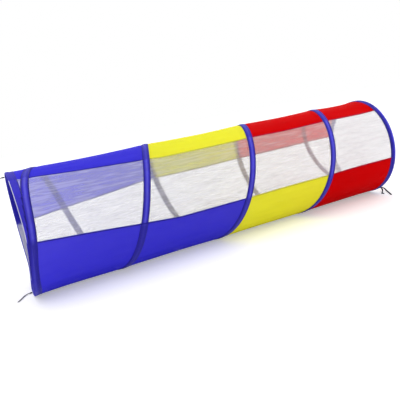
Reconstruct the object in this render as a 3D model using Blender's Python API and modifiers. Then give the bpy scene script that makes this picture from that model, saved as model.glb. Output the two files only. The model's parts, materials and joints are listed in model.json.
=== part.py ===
"""Pop-up play tunnel: a sprung wire coil in cloth sleeves, cloth and netting panels, hemmed ends and ties.

The tunnel lies along X with its left end at -X, its near side at -Y and the floor at z = 0.
Angles round the tunnel are turn angles: 0 at the foot, 90 on the near side, 180 at the top, 270 on
the far side. The coil runs from turn angle 0 at the left end to COIL_TURNS whole turns at the right.
"""

import math

import bmesh
import bpy
from mathutils import Vector

# Driving sizes, in metres and degrees
TUNNEL_LENGTH = 1.68  # between the wires of the two end hoops, along the axis
COIL_RADIUS = 0.235  # from the axis to the middle of the wire
WIRE_DIAMETER = 0.0028
CLOTH_THICKNESS = 0.001
TAPE_THICKNESS = 0.0007  # one layer of the binding tape round the wire
SLEEVE_WIDTH = 0.028
HEM_WIDTH = 0.025  # from the end hoop's wire inwards
SEWN_GAP = 0.0003
EDGE_GAP = 0.0006  # a panel's cut edge to the sleeve that it is sewn to
PANEL_SAG = 0.004  # how far the middle of a panel as wide as the coil's radius is drawn in
WIRE_LAY = 0.0036  # between the middles of two strands that lie side by side
FOOT_ANGLE = 7.0  # half of the flat that the hoops take on the floor
STEP_ANGLE = 12.0  # between the stops round a turn
STOP_ROUNDING = 6  # decimals kept of a stop, so that pieces share their stops
SAME_ANGLE = 1e-6
SHARP_ANGLE = 40.0  # edges from here up are shaded sharp

# The coil as it stands opened by hand: the share of the length that each half turn takes
HALF_TURN_SHARES = (0.048, 0.130, 0.140, 0.120, 0.156, 0.114, 0.125, 0.167)
COIL_TURNS = len(HALF_TURN_SHARES) // 2
LAST_ANGLE = 360.0 * COIL_TURNS
LEFT_END_SLOPE = -0.07  # metres along X for each metre along Y
RIGHT_END_SLOPE = 0.09
LEFT_LEAN_ANGLE = 90.0  # the coil leans with the left end this far, and is upright after as much again
RIGHT_LEAN_ANGLE = 60.0  # over which it takes up the right end's lean
LEFT_FOOT_REACH = 0.018  # how far the left hoop's foot, and the coil beside it, stand out past its plane
NEAR_REACH_ANGLES = (50.0, 110.0)  # from the foot, where the reach starts to fade and where it ends
FAR_REACH_ANGLES = (4.0, 50.0)

# Where the cloth changes, as turn angles on the first turn
NETTING_START_ANGLE = 79.9
TOP_START_ANGLE = 142.3
FAR_NETTING_START_ANGLE = 256.6
LOWER_START_ANGLE = 325.9
TWIST_ANGLE = 13.2  # how far the cloth is turned at the left end
TWIST_END_SHARE = 0.33  # of the length, where the turning has faded out
NARROWEST_PANEL = 0.004
PANEL_SPANS = 2  # rows of faces across a panel, from turn to turn
LEAST_COLUMNS = 3
EDGE_ROUNDS = 12  # of the search for where a twisted seam meets the coil
SPAN_SEARCH_STEP = 0.5
SAG_LIFT_ANGLE = 24.0  # past the foot, over which a panel's sag comes in

# The crimped sleeve that joins the wire's end to its neighbour strand
FERRULE_LENGTH = 0.016
FERRULE_WALL = 0.0005
FERRULE_BORE_CLEARANCE = 0.0003
FERRULE_ARC_ANGLES = (-67.5, -22.5, 22.5, 67.5)

# The sewn tabs at the hems and the ties that they hold
TAB_LENGTH = 0.010
TAB_WIDTH = 0.009
TAB_THICKNESS = 0.0024
TAB_EDGE_RADIUS = 0.0005
TIE_DIAMETER = 0.003
TIE_POINT_SPACING = 0.007
ROUTE_SAMPLES = 20  # between two given points of a tie's route
LEFT_TOP_TAB_ANGLE = 205.0
LEFT_BOTTOM_TAB_ANGLE = 0.0
RIGHT_BOTTOM_TAB_ANGLE = 25.0

WIRE_RADIUS = WIRE_DIAMETER / 2
CHANNEL_ROOM = WIRE_RADIUS + FERRULE_BORE_CLEARANCE + FERRULE_WALL + SEWN_GAP  # round the wire
SLEEVE_HALF_HEIGHT = CHANNEL_ROOM + TAPE_THICKNESS
AXIS_HEIGHT = COIL_RADIUS * math.cos(math.radians(FOOT_ANGLE)) + SLEEVE_HALF_HEIGHT
LEFT_TAB_CLEARANCE = SEWN_GAP + abs(LEFT_END_SLOPE) * TAB_WIDTH / 2
LEFT_OVERHANG = LEFT_FOOT_REACH + SLEEVE_HALF_HEIGHT + LEFT_TAB_CLEARANCE + TAB_LENGTH
RIGHT_OVERHANG = RIGHT_END_SLOPE * (COIL_RADIUS + WIRE_RADIUS) + SLEEVE_HALF_HEIGHT
MIDDLE_SHIFT = (LEFT_OVERHANG - RIGHT_OVERHANG) / 2
LEFT_X = MIDDLE_SHIFT - TUNNEL_LENGTH / 2
RIGHT_X = MIDDLE_SHIFT + TUNNEL_LENGTH / 2
COIL_LENGTH = TUNNEL_LENGTH - 2 * WIRE_LAY
OVERLAP_ANGLE = math.degrees(FERRULE_LENGTH / 2 / COIL_RADIUS)
HOOP_RUN_IN_ANGLE = 90.0  # over which a strand moves from beside the end hoop into it
PANEL_MARGIN = SLEEVE_WIDTH / 2 + EDGE_GAP
CHANNEL_WALL = WIRE_RADIUS + SEWN_GAP + 2 * TAPE_THICKNESS


def srgb(red, green, blue):
    """A linear colour from sRGB values of 0 to 255."""
    return tuple((value / 255) ** 2.2 for value in (red, green, blue)) + (1.0,)


BLUE = srgb(56, 50, 205)
NAVY = srgb(28, 26, 90)
YELLOW = srgb(238, 236, 50)
RED = srgb(204, 0, 4)
NETTING_WHITE = srgb(236, 236, 240)
STEEL = srgb(150, 152, 156)


def material(name, colour, roughness, metallic=0.0):
    """A plain Principled material."""
    made = bpy.data.materials.new(name)
    made.use_nodes = True
    shader = made.node_tree.nodes["Principled BSDF"]
    shader.inputs["Base Color"].default_value = colour
    shader.inputs["Roughness"].default_value = roughness
    shader.inputs["Metallic"].default_value = metallic
    return made


def smooth(value):
    """0 to 1 with level ends."""
    value = min(max(value, 0.0), 1.0)
    return value * value * (3 - 2 * value)


def foot_distance(turn_angle):
    """Degrees from the nearest foot of a turn."""
    return abs((turn_angle + 180.0) % 360.0 - 180.0)


def across(turn_angle, offset=0.0):
    """(y, z) at a turn angle, offset outwards from the wire's middle. It is flat at the foot."""
    turn = math.radians(turn_angle)
    if foot_distance(turn_angle) <= FOOT_ANGLE + SAME_ANGLE:
        foot = COIL_RADIUS * math.cos(math.radians(FOOT_ANGLE)) + offset
        return -COIL_RADIUS * math.sin(turn), AXIS_HEIGHT - foot
    radius = COIL_RADIUS + offset
    return -radius * math.sin(turn), AXIS_HEIGHT - radius * math.cos(turn)


def foot_pull(turn_angle):
    """How far the left hoop, and the coil beside it, stand out past the hoop's plane round the foot."""
    place = (turn_angle + 180.0) % 360.0 - 180.0
    level, end = NEAR_REACH_ANGLES if place > 0 else FAR_REACH_ANGLES
    return LEFT_FOOT_REACH * smooth((end - abs(place)) / (end - level))


def left_hoop_x(turn_angle, offset=0.0):
    """The left end hoop, in a leaning plane but for its foot, offset outwards from the wire's middle."""
    return LEFT_X + LEFT_END_SLOPE * across(turn_angle, offset)[0] - foot_pull(turn_angle)


def right_hoop_x(turn_angle, offset=0.0):
    """The right end hoop, in a leaning plane, offset outwards from the wire's middle."""
    return RIGHT_X + RIGHT_END_SLOPE * across(turn_angle, offset)[0]


def advance_share(turn_angle):
    """The share of the coil's length reached at a turn angle. It leaves and meets the end hoops level."""
    place = min(max(turn_angle / 180.0, 0.0), len(HALF_TURN_SHARES))
    index = min(int(place), len(HALF_TURN_SHARES) - 1)
    part = place - index
    rates = [0.0, HALF_TURN_SHARES[1]]
    rates += [(a + b) / 2 for a, b in zip(HALF_TURN_SHARES[1:], HALF_TURN_SHARES[2:])]
    rates.append(HALF_TURN_SHARES[-1])
    start = sum(HALF_TURN_SHARES[:index])
    rise = smooth(part) * HALF_TURN_SHARES[index]
    leave = (part**3 - 2 * part**2 + part) * rates[index]
    arrive = (part**3 - part**2) * rates[index + 1]
    level = rates[-1] * part**6 * (1 - part) if index == len(HALF_TURN_SHARES) - 1 else 0.0
    return start + rise + leave + arrive + level


def coil_x(turn_angle):
    """The wire along the coil, which leans with each end hoop near it."""
    y = across(turn_angle)[0]
    left_lean = LEFT_END_SLOPE * y * (1 - smooth((turn_angle - LEFT_LEAN_ANGLE) / LEFT_LEAN_ANGLE))
    right_lean = RIGHT_END_SLOPE * y * smooth(1 + (turn_angle - LAST_ANGLE) / RIGHT_LEAN_ANGLE)
    pull = foot_pull(turn_angle) if turn_angle < 180.0 else 0.0
    return LEFT_X + WIRE_LAY + COIL_LENGTH * advance_share(turn_angle) + left_lean + right_lean - pull


def wire_x(turn_angle):
    """The whole wire: left end hoop, coil, right end hoop."""
    if turn_angle < 0:
        return left_hoop_x(turn_angle) + WIRE_LAY * smooth(1 + turn_angle / HOOP_RUN_IN_ANGLE)
    if turn_angle > LAST_ANGLE:
        past = (turn_angle - LAST_ANGLE) / HOOP_RUN_IN_ANGLE
        return right_hoop_x(turn_angle) - WIRE_LAY * smooth(1 - past)
    return coil_x(turn_angle)


def strip_left_x(turn_angle):
    """The line that the cloth's left edge follows: the left hoop for one turn, then the coil."""
    if turn_angle < 0:
        return left_hoop_x(turn_angle) + WIRE_LAY
    return coil_x(turn_angle)


def strip_right_x(turn_angle):
    """The line that the cloth's right edge follows, a turn further on: the coil, then the right hoop."""
    if turn_angle + 360.0 > LAST_ANGLE:
        return right_hoop_x(turn_angle) - WIRE_LAY
    return coil_x(turn_angle + 360.0)


def angle_stops(start, end, step=STEP_ANGLE):
    """Turn angles from start to end at whole steps, and at both edges of each flat foot."""
    stops = {round(start, STOP_ROUNDING), round(end, STOP_ROUNDING)}
    inside = [step * i for i in range(math.ceil(start / step), math.floor(end / step) + 1)]
    for turn in range(math.floor(start / 360.0), math.ceil(end / 360.0) + 1):
        inside += [turn * 360.0 - FOOT_ANGLE, turn * 360.0 + FOOT_ANGLE]
    for stop in inside:
        if start + step / 8 < stop < end - step / 8:
            stops.add(round(stop, STOP_ROUNDING))
    return sorted(stops)


def add_object(name, mesh, finish):
    """Put a mesh in the tunnel's collection with its own material."""
    mesh.materials.append(finish)
    made = bpy.data.objects.new(name, mesh)
    collection.objects.link(made)
    return made


def loft(name, rings, finish, closed=False):
    """Join rings of loops, an outer one and where hollow an inner one, into one closed body."""
    shape = bmesh.new()
    made = [[[shape.verts.new(point) for point in loop] for loop in ring] for ring in rings]
    pairs = list(zip(made, made[1:]))
    if closed:
        pairs.append((made[-1], made[0]))
    for first, second in pairs:
        for here, there in zip(first, second):
            for i in range(len(here)):
                j = (i + 1) % len(here)
                shape.faces.new((here[i], here[j], there[j], there[i]))
    if not closed:
        for outer, inner in (made[0], made[-1]):
            for i in range(len(outer)):
                j = (i + 1) % len(outer)
                shape.faces.new((outer[i], outer[j], inner[j], inner[i]))
    bmesh.ops.recalc_face_normals(shape, faces=shape.faces)
    mesh = bpy.data.meshes.new(name)
    shape.to_mesh(mesh)
    shape.free()
    mesh.shade_smooth()
    mesh.set_sharp_from_angle(angle=math.radians(SHARP_ANGLE))
    return add_object(name, mesh, finish)


def tube(name, points, diameter, sides_step, finish):
    """A round tube along points: a poly curve with a bevel and filled caps."""
    curve = bpy.data.curves.new(name, "CURVE")
    curve.dimensions = "3D"
    curve.bevel_depth = diameter / 2
    curve.bevel_resolution = sides_step
    curve.use_fill_caps = True
    spline = curve.splines.new("POLY")
    spline.points.add(len(points) - 1)
    for place, point in zip(spline.points, points):
        place.co = (*point, 1.0)
    curve.materials.append(finish)
    made = bpy.data.objects.new(name, curve)
    collection.objects.link(made)
    return made


def least_gap(points, diameter, skipped):
    """The least clear distance between stretches of one tube that are not neighbours along it."""
    least = math.inf
    for i, (start, end) in enumerate(zip(points, points[1:])):
        run = end - start
        for j, point in enumerate(points):
            if abs(i - j) < skipped:
                continue
            share = min(max((point - start).dot(run) / run.length_squared, 0.0), 1.0)
            least = min(least, (point - (start + run * share)).length)
    return least - diameter


def build_wire():
    """One unbroken spring wire: an end hoop, the open coil, and the other end hoop."""
    stops = angle_stops(-360.0 - OVERLAP_ANGLE, LAST_ANGLE + 360.0 + OVERLAP_ANGLE)
    for foot in (0.0, LAST_ANGLE):
        stops += [foot - OVERLAP_ANGLE, foot + OVERLAP_ANGLE]
    stops.sort()
    points = [Vector((wire_x(stop), *across(stop))) for stop in stops]
    gap = least_gap(points, WIRE_DIAMETER, round(180.0 / STEP_ANGLE))
    print(f"spring_wire: least gap to itself {gap * 1000:.2f} mm")
    tube("spring_wire", points, WIRE_DIAMETER, 1, material("spring_steel", STEEL, 0.35, 1.0))


def build_ferrule(name, hoop_x, side, finish):
    """A crimped oval sleeve round the two strands at a foot. side is 1 where the coil lies at +X."""
    half = FERRULE_LENGTH / 2
    middle = side * WIRE_LAY / 2
    rings = []
    for y in (-half, 0.0, half):
        height = across(0.0)[1]
        hoop = hoop_x(math.degrees(math.asin(-y / COIL_RADIUS)))
        ring = []
        for grow in (FERRULE_BORE_CLEARANCE + FERRULE_WALL, FERRULE_BORE_CLEARANCE):
            radius = WIRE_RADIUS + grow
            loop = []
            for end in (1, -1):
                for turn in FERRULE_ARC_ANGLES:
                    around = math.radians(turn)
                    x = end * (WIRE_LAY / 2 + radius * math.cos(around))
                    loop.append((hoop + middle + x, y, height + end * radius * math.sin(around)))
            ring.append(loop)
        rings.append(ring)
    loft(name, rings, finish)


def sleeve_clear_angle(step):
    """The first turn angle from a foot, going by step, where the coil's sleeve is clear of the hem."""
    if step > 0:
        angle = 0.0
        while coil_x(angle) - left_hoop_x(angle) < HEM_WIDTH + SEWN_GAP + CHANNEL_WALL:
            angle += step
        return angle
    angle = LAST_ANGLE
    while right_hoop_x(angle) - coil_x(angle) < HEM_WIDTH + SEWN_GAP + CHANNEL_WALL:
        angle += step
    return angle


def hem_width_at(turn_angle, hoop_x, coil_angle, clear_angle, side):
    """The hem's width, which flares where the coil's wire is still inside it."""
    if side * (clear_angle - coil_angle) <= 0:
        return HEM_WIDTH
    distance = side * (coil_x(coil_angle) - hoop_x(turn_angle))
    return max(HEM_WIDTH, distance + SLEEVE_WIDTH / 2)


def build_hem(name, hoop_x, side, clear_angle, finish):
    """A folded hem, open inwards like a U, round an end hoop. side is 1 at the left end."""
    high = SLEEVE_HALF_HEIGHT
    room = CHANNEL_ROOM
    bend = WIRE_RADIUS
    rings = []
    for stop in angle_stops(0.0, 360.0)[:-1]:
        coil_angle = stop if side > 0 else LAST_ANGLE - 360.0 + stop
        if side < 0 and stop == 0.0:
            coil_angle = LAST_ANGLE
        width = hem_width_at(stop, hoop_x, coil_angle, clear_angle, side)
        profile = (
            (width, high), (-bend, high), (-high, bend), (-high, -bend), (-bend, -high), (width, -high),
            (width, -room), (-bend, -room), (-room, -bend), (-room, bend), (-bend, room), (width, room),
        )
        ring = []
        for inwards, offset in profile:
            ring.append((hoop_x(stop, offset) + side * inwards, *across(stop, offset)))
        rings.append([ring])
    loft(name, rings, finish, closed=True)


def build_sleeve(name, start, end, finish):
    """A flattened tape sleeve round the wire over one turn, narrowed where the hem lies beside it."""
    rings = []
    half = SLEEVE_WIDTH / 2
    crown = WIRE_RADIUS + SEWN_GAP
    for stop in angle_stops(start, end):
        middle = coil_x(stop)
        left = min(half, middle - left_hoop_x(stop) - HEM_WIDTH - SEWN_GAP) if stop < 180.0 else half
        right = min(half, right_hoop_x(stop) - middle - HEM_WIDTH - SEWN_GAP)
        ring = []
        for wall, high in ((0.0, SLEEVE_HALF_HEIGHT), (2 * TAPE_THICKNESS, CHANNEL_ROOM)):
            profile = (
                (-left + wall, 0.0), (-crown, high), (crown, high),
                (right - wall, 0.0), (crown, -high), (-crown, -high),
            )
            ring.append([(middle + x, *across(stop, offset)) for x, offset in profile])
        rings.append(ring)
    loft(name, rings, finish)


def twist_at(x):
    """Degrees that the cloth is turned round the tunnel at a place along it."""
    faded = (x - LEFT_X) / (TWIST_END_SHARE * TUNNEL_LENGTH)
    return TWIST_ANGLE * min(max(1 - faded, 0.0), 1.0)


def panel_edges(cloth_angle):
    """(x, x) of a panel's left and right edges at an angle counted on the untwisted cloth."""
    edges = []
    for line, margin in ((strip_left_x, PANEL_MARGIN), (strip_right_x, -PANEL_MARGIN)):
        x = line(cloth_angle) + margin
        for _ in range(EDGE_ROUNDS):
            x = line(cloth_angle + twist_at(x)) + margin
        edges.append(x)
    return edges


def panel_span(start, end):
    """The part of a stretch of cloth that is wide enough to be a panel."""
    steps = round((end - start) / SPAN_SEARCH_STEP)
    wide = []
    for i in range(steps + 1):
        angle = start + (end - start) * i / steps
        left, right = panel_edges(angle)
        if right - left >= NARROWEST_PANEL:
            wide.append(angle)
    return wide[0], wide[-1]


def build_panel(name, start, end, finish):
    """A panel of cloth or netting between two turns, drawn in a little at its middle."""
    seam = math.degrees(SEWN_GAP / COIL_RADIUS) / 2
    start, end = panel_span(start + seam, end - seam)
    columns = max(LEAST_COLUMNS, round((end - start) / STEP_ANGLE)) + 1
    shape = bmesh.new()
    grid = []
    for i in range(columns):
        angle = start + (end - start) * i / (columns - 1)
        left, right = panel_edges(angle)
        deepest = PANEL_SAG * min(1.0, (right - left) / COIL_RADIUS) ** 2
        row = []
        for j in range(PANEL_SPANS + 1):
            share = j / PANEL_SPANS
            x = left + (right - left) * share
            turn_angle = angle + twist_at(x)
            lift = smooth((foot_distance(turn_angle) - FOOT_ANGLE) / SAG_LIFT_ANGLE)
            sag = deepest * 4 * share * (1 - share) * lift
            row.append(shape.verts.new((x, *across(turn_angle, -sag))))
        grid.append(row)
    for here, there in zip(grid, grid[1:]):
        for i in range(PANEL_SPANS):
            shape.faces.new((here[i], here[i + 1], there[i + 1], there[i]))
    mesh = bpy.data.meshes.new(name)
    shape.to_mesh(mesh)
    shape.free()
    mesh.shade_smooth()
    made = add_object(name, mesh, finish)
    thick = made.modifiers.new("thickness", "SOLIDIFY")
    thick.thickness = CLOTH_THICKNESS
    thick.offset = 0.0


def build_panels():
    """Every panel, named for its place and numbered along the coil from the left."""
    cloth = {"blue": BLUE, "yellow": YELLOW, "red": RED}
    tops = ("blue", "blue", "yellow", "red", "red")
    lowers = (None, "blue", "blue", "yellow", "red")
    for turn in range(COIL_TURNS + 1):
        base = 360.0 * (turn - 1)
        number = str(turn) if turn else "start"
        netting = material(f"netting_{number}", NETTING_WHITE, 0.8)
        name = f"near_netting_{number}"
        build_panel(name, base + NETTING_START_ANGLE, base + TOP_START_ANGLE, netting)
        finish = material(f"{tops[turn]}_top_cloth_{number}", cloth[tops[turn]], 0.7)
        build_panel(f"top_panel_{number}", base + TOP_START_ANGLE, base + FAR_NETTING_START_ANGLE, finish)
        netting = material(f"far_netting_{number}", NETTING_WHITE, 0.8)
        name = f"far_netting_{number}"
        build_panel(name, base + FAR_NETTING_START_ANGLE, base + LOWER_START_ANGLE, netting)
        if lowers[turn]:
            finish = material(f"{lowers[turn]}_lower_cloth_{number}", cloth[lowers[turn]], 0.7)
            start = base + LOWER_START_ANGLE - 360.0
            build_panel(f"lower_panel_{number}", start, base + NETTING_START_ANGLE, finish)
    finish = material("red_lower_cloth_end", RED, 0.7)
    start = LAST_ANGLE - 360.0 + LOWER_START_ANGLE
    build_panel("lower_panel_end", start, LAST_ANGLE, finish)


def build_tab(name, turn_angle, hoop_x, slope, side, finish):
    """A small folded tab sewn to a hem's fold. side is 1 at the left end. Returns its outer middle."""
    y, z = across(turn_angle)
    clear = SEWN_GAP + abs(slope) * TAB_WIDTH / 2
    x = hoop_x(turn_angle) - side * (SLEEVE_HALF_HEIGHT + clear + TAB_LENGTH / 2)
    bpy.ops.mesh.primitive_cube_add(size=1.0)
    made = bpy.context.object
    made.name = made.data.name = name
    for vertex in made.data.vertices:
        vertex.co *= Vector((TAB_LENGTH, TAB_WIDTH, TAB_THICKNESS))
    made.location = (x, y, z)
    made.rotation_euler = (-math.radians(turn_angle), 0.0, 0.0)
    for old in made.users_collection:
        old.objects.unlink(made)
    collection.objects.link(made)
    made.data.materials.append(finish)
    edges = made.modifiers.new("edges", "BEVEL")
    edges.width = TAB_EDGE_RADIUS
    edges.segments = 1


def smooth_route(points, spacing):
    """Points at an even spacing along one smooth curve through the given ones."""
    places = [Vector(point) for point in points]
    ends = [2 * places[0] - places[1], *places, 2 * places[-1] - places[-2]]
    dense = []
    for before, here, there, after in zip(ends, ends[1:], ends[2:], ends[3:]):
        for i in range(ROUTE_SAMPLES):
            t = i / ROUTE_SAMPLES
            dense.append(
                (2 * here + (there - before) * t + (2 * before - 5 * here + 4 * there - after) * t**2
                 + (3 * here - before - 3 * there + after) * t**3) / 2
            )
    dense.append(places[-1])
    length = sum((b - a).length for a, b in zip(dense, dense[1:]))
    count = max(2, round(length / spacing))
    made, walked, index = [dense[0]], 0.0, 0
    for k in range(1, count):
        target = length * k / count
        while walked + (dense[index + 1] - dense[index]).length < target:
            walked += (dense[index + 1] - dense[index]).length
            index += 1
        run = dense[index + 1] - dense[index]
        made.append(dense[index] + run * ((target - walked) / run.length))
    return made + [dense[-1]]


# The ties' routes, from their tabs, in metres
LEFT_TOP_TIE = ((-0.8575, 0.0993, 0.4495), (-0.8695, 0.0993, 0.4480), (-0.8775, 0.0990, 0.4390),
                (-0.8795, 0.0985, 0.4250), (-0.8785, 0.0980, 0.4120), (-0.8775, 0.0978, 0.4010))
LEFT_BOTTOM_TIE = ((-0.8686, 0.0, 0.0032), (-0.8765, -0.001, 0.0026), (-0.8865, -0.009, 0.0018),
                   (-0.8955, -0.024, 0.0016), (-0.9035, -0.040, 0.0016), (-0.9105, -0.052, 0.0016))
RIGHT_BOTTOM_LONG_TIE = ((0.8491, -0.0976, 0.0227), (0.8613, -0.0980, 0.0225), (0.8713, -0.105, 0.0170),
                         (0.8703, -0.122, 0.0060), (0.8593, -0.145, 0.0017), (0.8453, -0.166, 0.0016),
                         (0.8333, -0.185, 0.0016))
RIGHT_BOTTOM_SHORT_TIE = ((0.8491, -0.1010, 0.0243), (0.8558, -0.1030, 0.0210), (0.8543, -0.1110, 0.0110),
                          (0.8433, -0.1180, 0.0030), (0.8333, -0.1280, 0.0016), (0.8343, -0.1390, 0.0016))


def build_ties():
    """The tabs on the hems, and the short ties that leave them and hang or lie free."""
    left, right = (left_hoop_x, LEFT_END_SLOPE, 1), (right_hoop_x, RIGHT_END_SLOPE, -1)
    tabs = (
        ("left_top_tie_tab", LEFT_TOP_TAB_ANGLE, *left),
        ("left_bottom_tie_tab", LEFT_BOTTOM_TAB_ANGLE, *left),
        ("right_bottom_tie_tab", RIGHT_BOTTOM_TAB_ANGLE, *right),
    )
    for name, angle, hoop_x, slope, side in tabs:
        build_tab(name, angle, hoop_x, slope, side, material(f"{name}_cloth", NAVY, 0.8))
    ties = (
        ("left_top_tie", LEFT_TOP_TIE),
        ("left_bottom_tie", LEFT_BOTTOM_TIE),
        ("right_bottom_long_tie", RIGHT_BOTTOM_LONG_TIE),
        ("right_bottom_short_tie", RIGHT_BOTTOM_SHORT_TIE),
    )
    for name, route in ties:
        points = smooth_route(route, TIE_POINT_SPACING)
        tube(name, points, TIE_DIAMETER, 2, material(f"{name}_cord", NAVY, 0.8))


def main():
    """Build the tunnel from its wire outwards."""
    build_wire()
    build_ferrule("left_wire_ferrule", left_hoop_x, 1, material("left_ferrule_steel", STEEL, 0.4, 1.0))
    build_ferrule("right_wire_ferrule", right_hoop_x, -1, material("right_ferrule_steel", STEEL, 0.4, 1.0))
    first_clear = sleeve_clear_angle(STEP_ANGLE)
    last_clear = sleeve_clear_angle(-STEP_ANGLE)
    build_hem("left_end_hem", left_hoop_x, 1, first_clear, material("left_hem_tape", BLUE, 0.6))
    build_hem("right_end_hem", right_hoop_x, -1, last_clear, material("right_hem_tape", BLUE, 0.6))
    cut = math.degrees(SEWN_GAP / COIL_RADIUS) / 2
    for turn in range(1, COIL_TURNS + 1):
        start = 360.0 * (turn - 1) + cut if turn > 1 else first_clear
        end = 360.0 * turn - cut if turn < COIL_TURNS else last_clear
        build_sleeve(f"coil_sleeve_{turn}", start, end, material(f"sleeve_tape_{turn}", BLUE, 0.6))
    build_panels()
    build_ties()


for old in list(bpy.data.objects):
    bpy.data.objects.remove(old, do_unlink=True)
collection = bpy.data.collections.new("play_tunnel")
bpy.context.scene.collection.children.link(collection)
main()
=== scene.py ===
"""Looks of the pop-up play tunnel: cloth, netting, binding tape, seams, ties and the spring wire.

Turn angles are degrees along the wire: 0 at the foot, 90 on the near side, 180 at the top, 270 on
the far side, and on through four turns. Lengths are metres.
"""

from __future__ import annotations

import json
import logging
import math
from dataclasses import dataclass, field
from enum import Enum
from functools import cached_property
from typing import Callable, Sequence

import bmesh
import bpy
from mathutils import Matrix, Vector, noise

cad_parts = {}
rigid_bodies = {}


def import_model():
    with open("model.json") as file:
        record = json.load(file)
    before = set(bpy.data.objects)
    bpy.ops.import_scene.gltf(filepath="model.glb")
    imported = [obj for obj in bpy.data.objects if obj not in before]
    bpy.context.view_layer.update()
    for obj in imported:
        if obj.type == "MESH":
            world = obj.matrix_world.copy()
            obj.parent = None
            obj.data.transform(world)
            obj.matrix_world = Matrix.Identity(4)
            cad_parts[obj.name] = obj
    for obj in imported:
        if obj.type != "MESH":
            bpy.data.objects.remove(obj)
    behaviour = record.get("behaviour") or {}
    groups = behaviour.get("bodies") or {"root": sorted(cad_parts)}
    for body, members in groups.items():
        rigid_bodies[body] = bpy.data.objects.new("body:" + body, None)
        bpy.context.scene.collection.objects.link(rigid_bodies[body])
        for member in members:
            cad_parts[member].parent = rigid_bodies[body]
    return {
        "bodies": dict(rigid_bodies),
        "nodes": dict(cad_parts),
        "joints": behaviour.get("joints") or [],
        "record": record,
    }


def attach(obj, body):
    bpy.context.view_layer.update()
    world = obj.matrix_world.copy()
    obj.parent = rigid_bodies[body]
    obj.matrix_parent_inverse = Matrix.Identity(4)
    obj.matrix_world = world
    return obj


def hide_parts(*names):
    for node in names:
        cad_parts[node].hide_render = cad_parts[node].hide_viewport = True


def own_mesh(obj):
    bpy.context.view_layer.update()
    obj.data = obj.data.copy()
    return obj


log = logging.getLogger("play_tunnel")

Colour = tuple[float, float, float]
Point = tuple[float, float, float]
Band = tuple[float, float]
Line = list[Vector]


def linear(red: float, green: float, blue: float) -> Colour:
    """Turn sRGB values of 0 to 255 into linear ones.

    Args:
        red: the red value.
        green: the green value.
        blue: the blue value.

    Returns:
        The three linear values.
    """
    shares = [value / 255 for value in (red, green, blue)]
    return tuple(s / 12.92 if s <= 0.04045 else ((s + 0.055) / 1.055) ** 2.4 for s in shares)


def smooth(value: float) -> float:
    """0 to 1 with level ends."""
    value = min(max(value, 0.0), 1.0)
    return value * value * (3 - 2 * value)


def ripple(x: float, y: float, seed: float) -> float:
    """A smooth height from -1 to 1 that is the same on each run."""
    return noise.noise(Vector((x, y, seed)))


def stand(name: str, data: bpy.types.ID) -> bpy.types.Object:
    """Put a new object into the scene.

    Args:
        name: its name.
        data: its mesh, lamp or camera.

    Returns:
        The object, at the origin.
    """
    made = bpy.data.objects.new(name, data)
    bpy.context.scene.collection.objects.link(made)
    return made


class Dye(Enum):
    """The cloth colours."""

    BLUE = linear(55, 49, 201)
    YELLOW = linear(242, 236, 48)
    RED = linear(194, 0, 2)

    @property
    def slot(self) -> str:
        """The record's material slot of the cloth in this colour."""
        return f"{self.name.lower()}_cloth"


class Stretch(Enum):
    """The stretches of cloth round a turn, by the start of their pieces' names."""

    NEAR_NETTING = "near_netting"
    TOP = "top_panel"
    FAR_NETTING = "far_netting"
    LOWER = "lower_panel"


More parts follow.
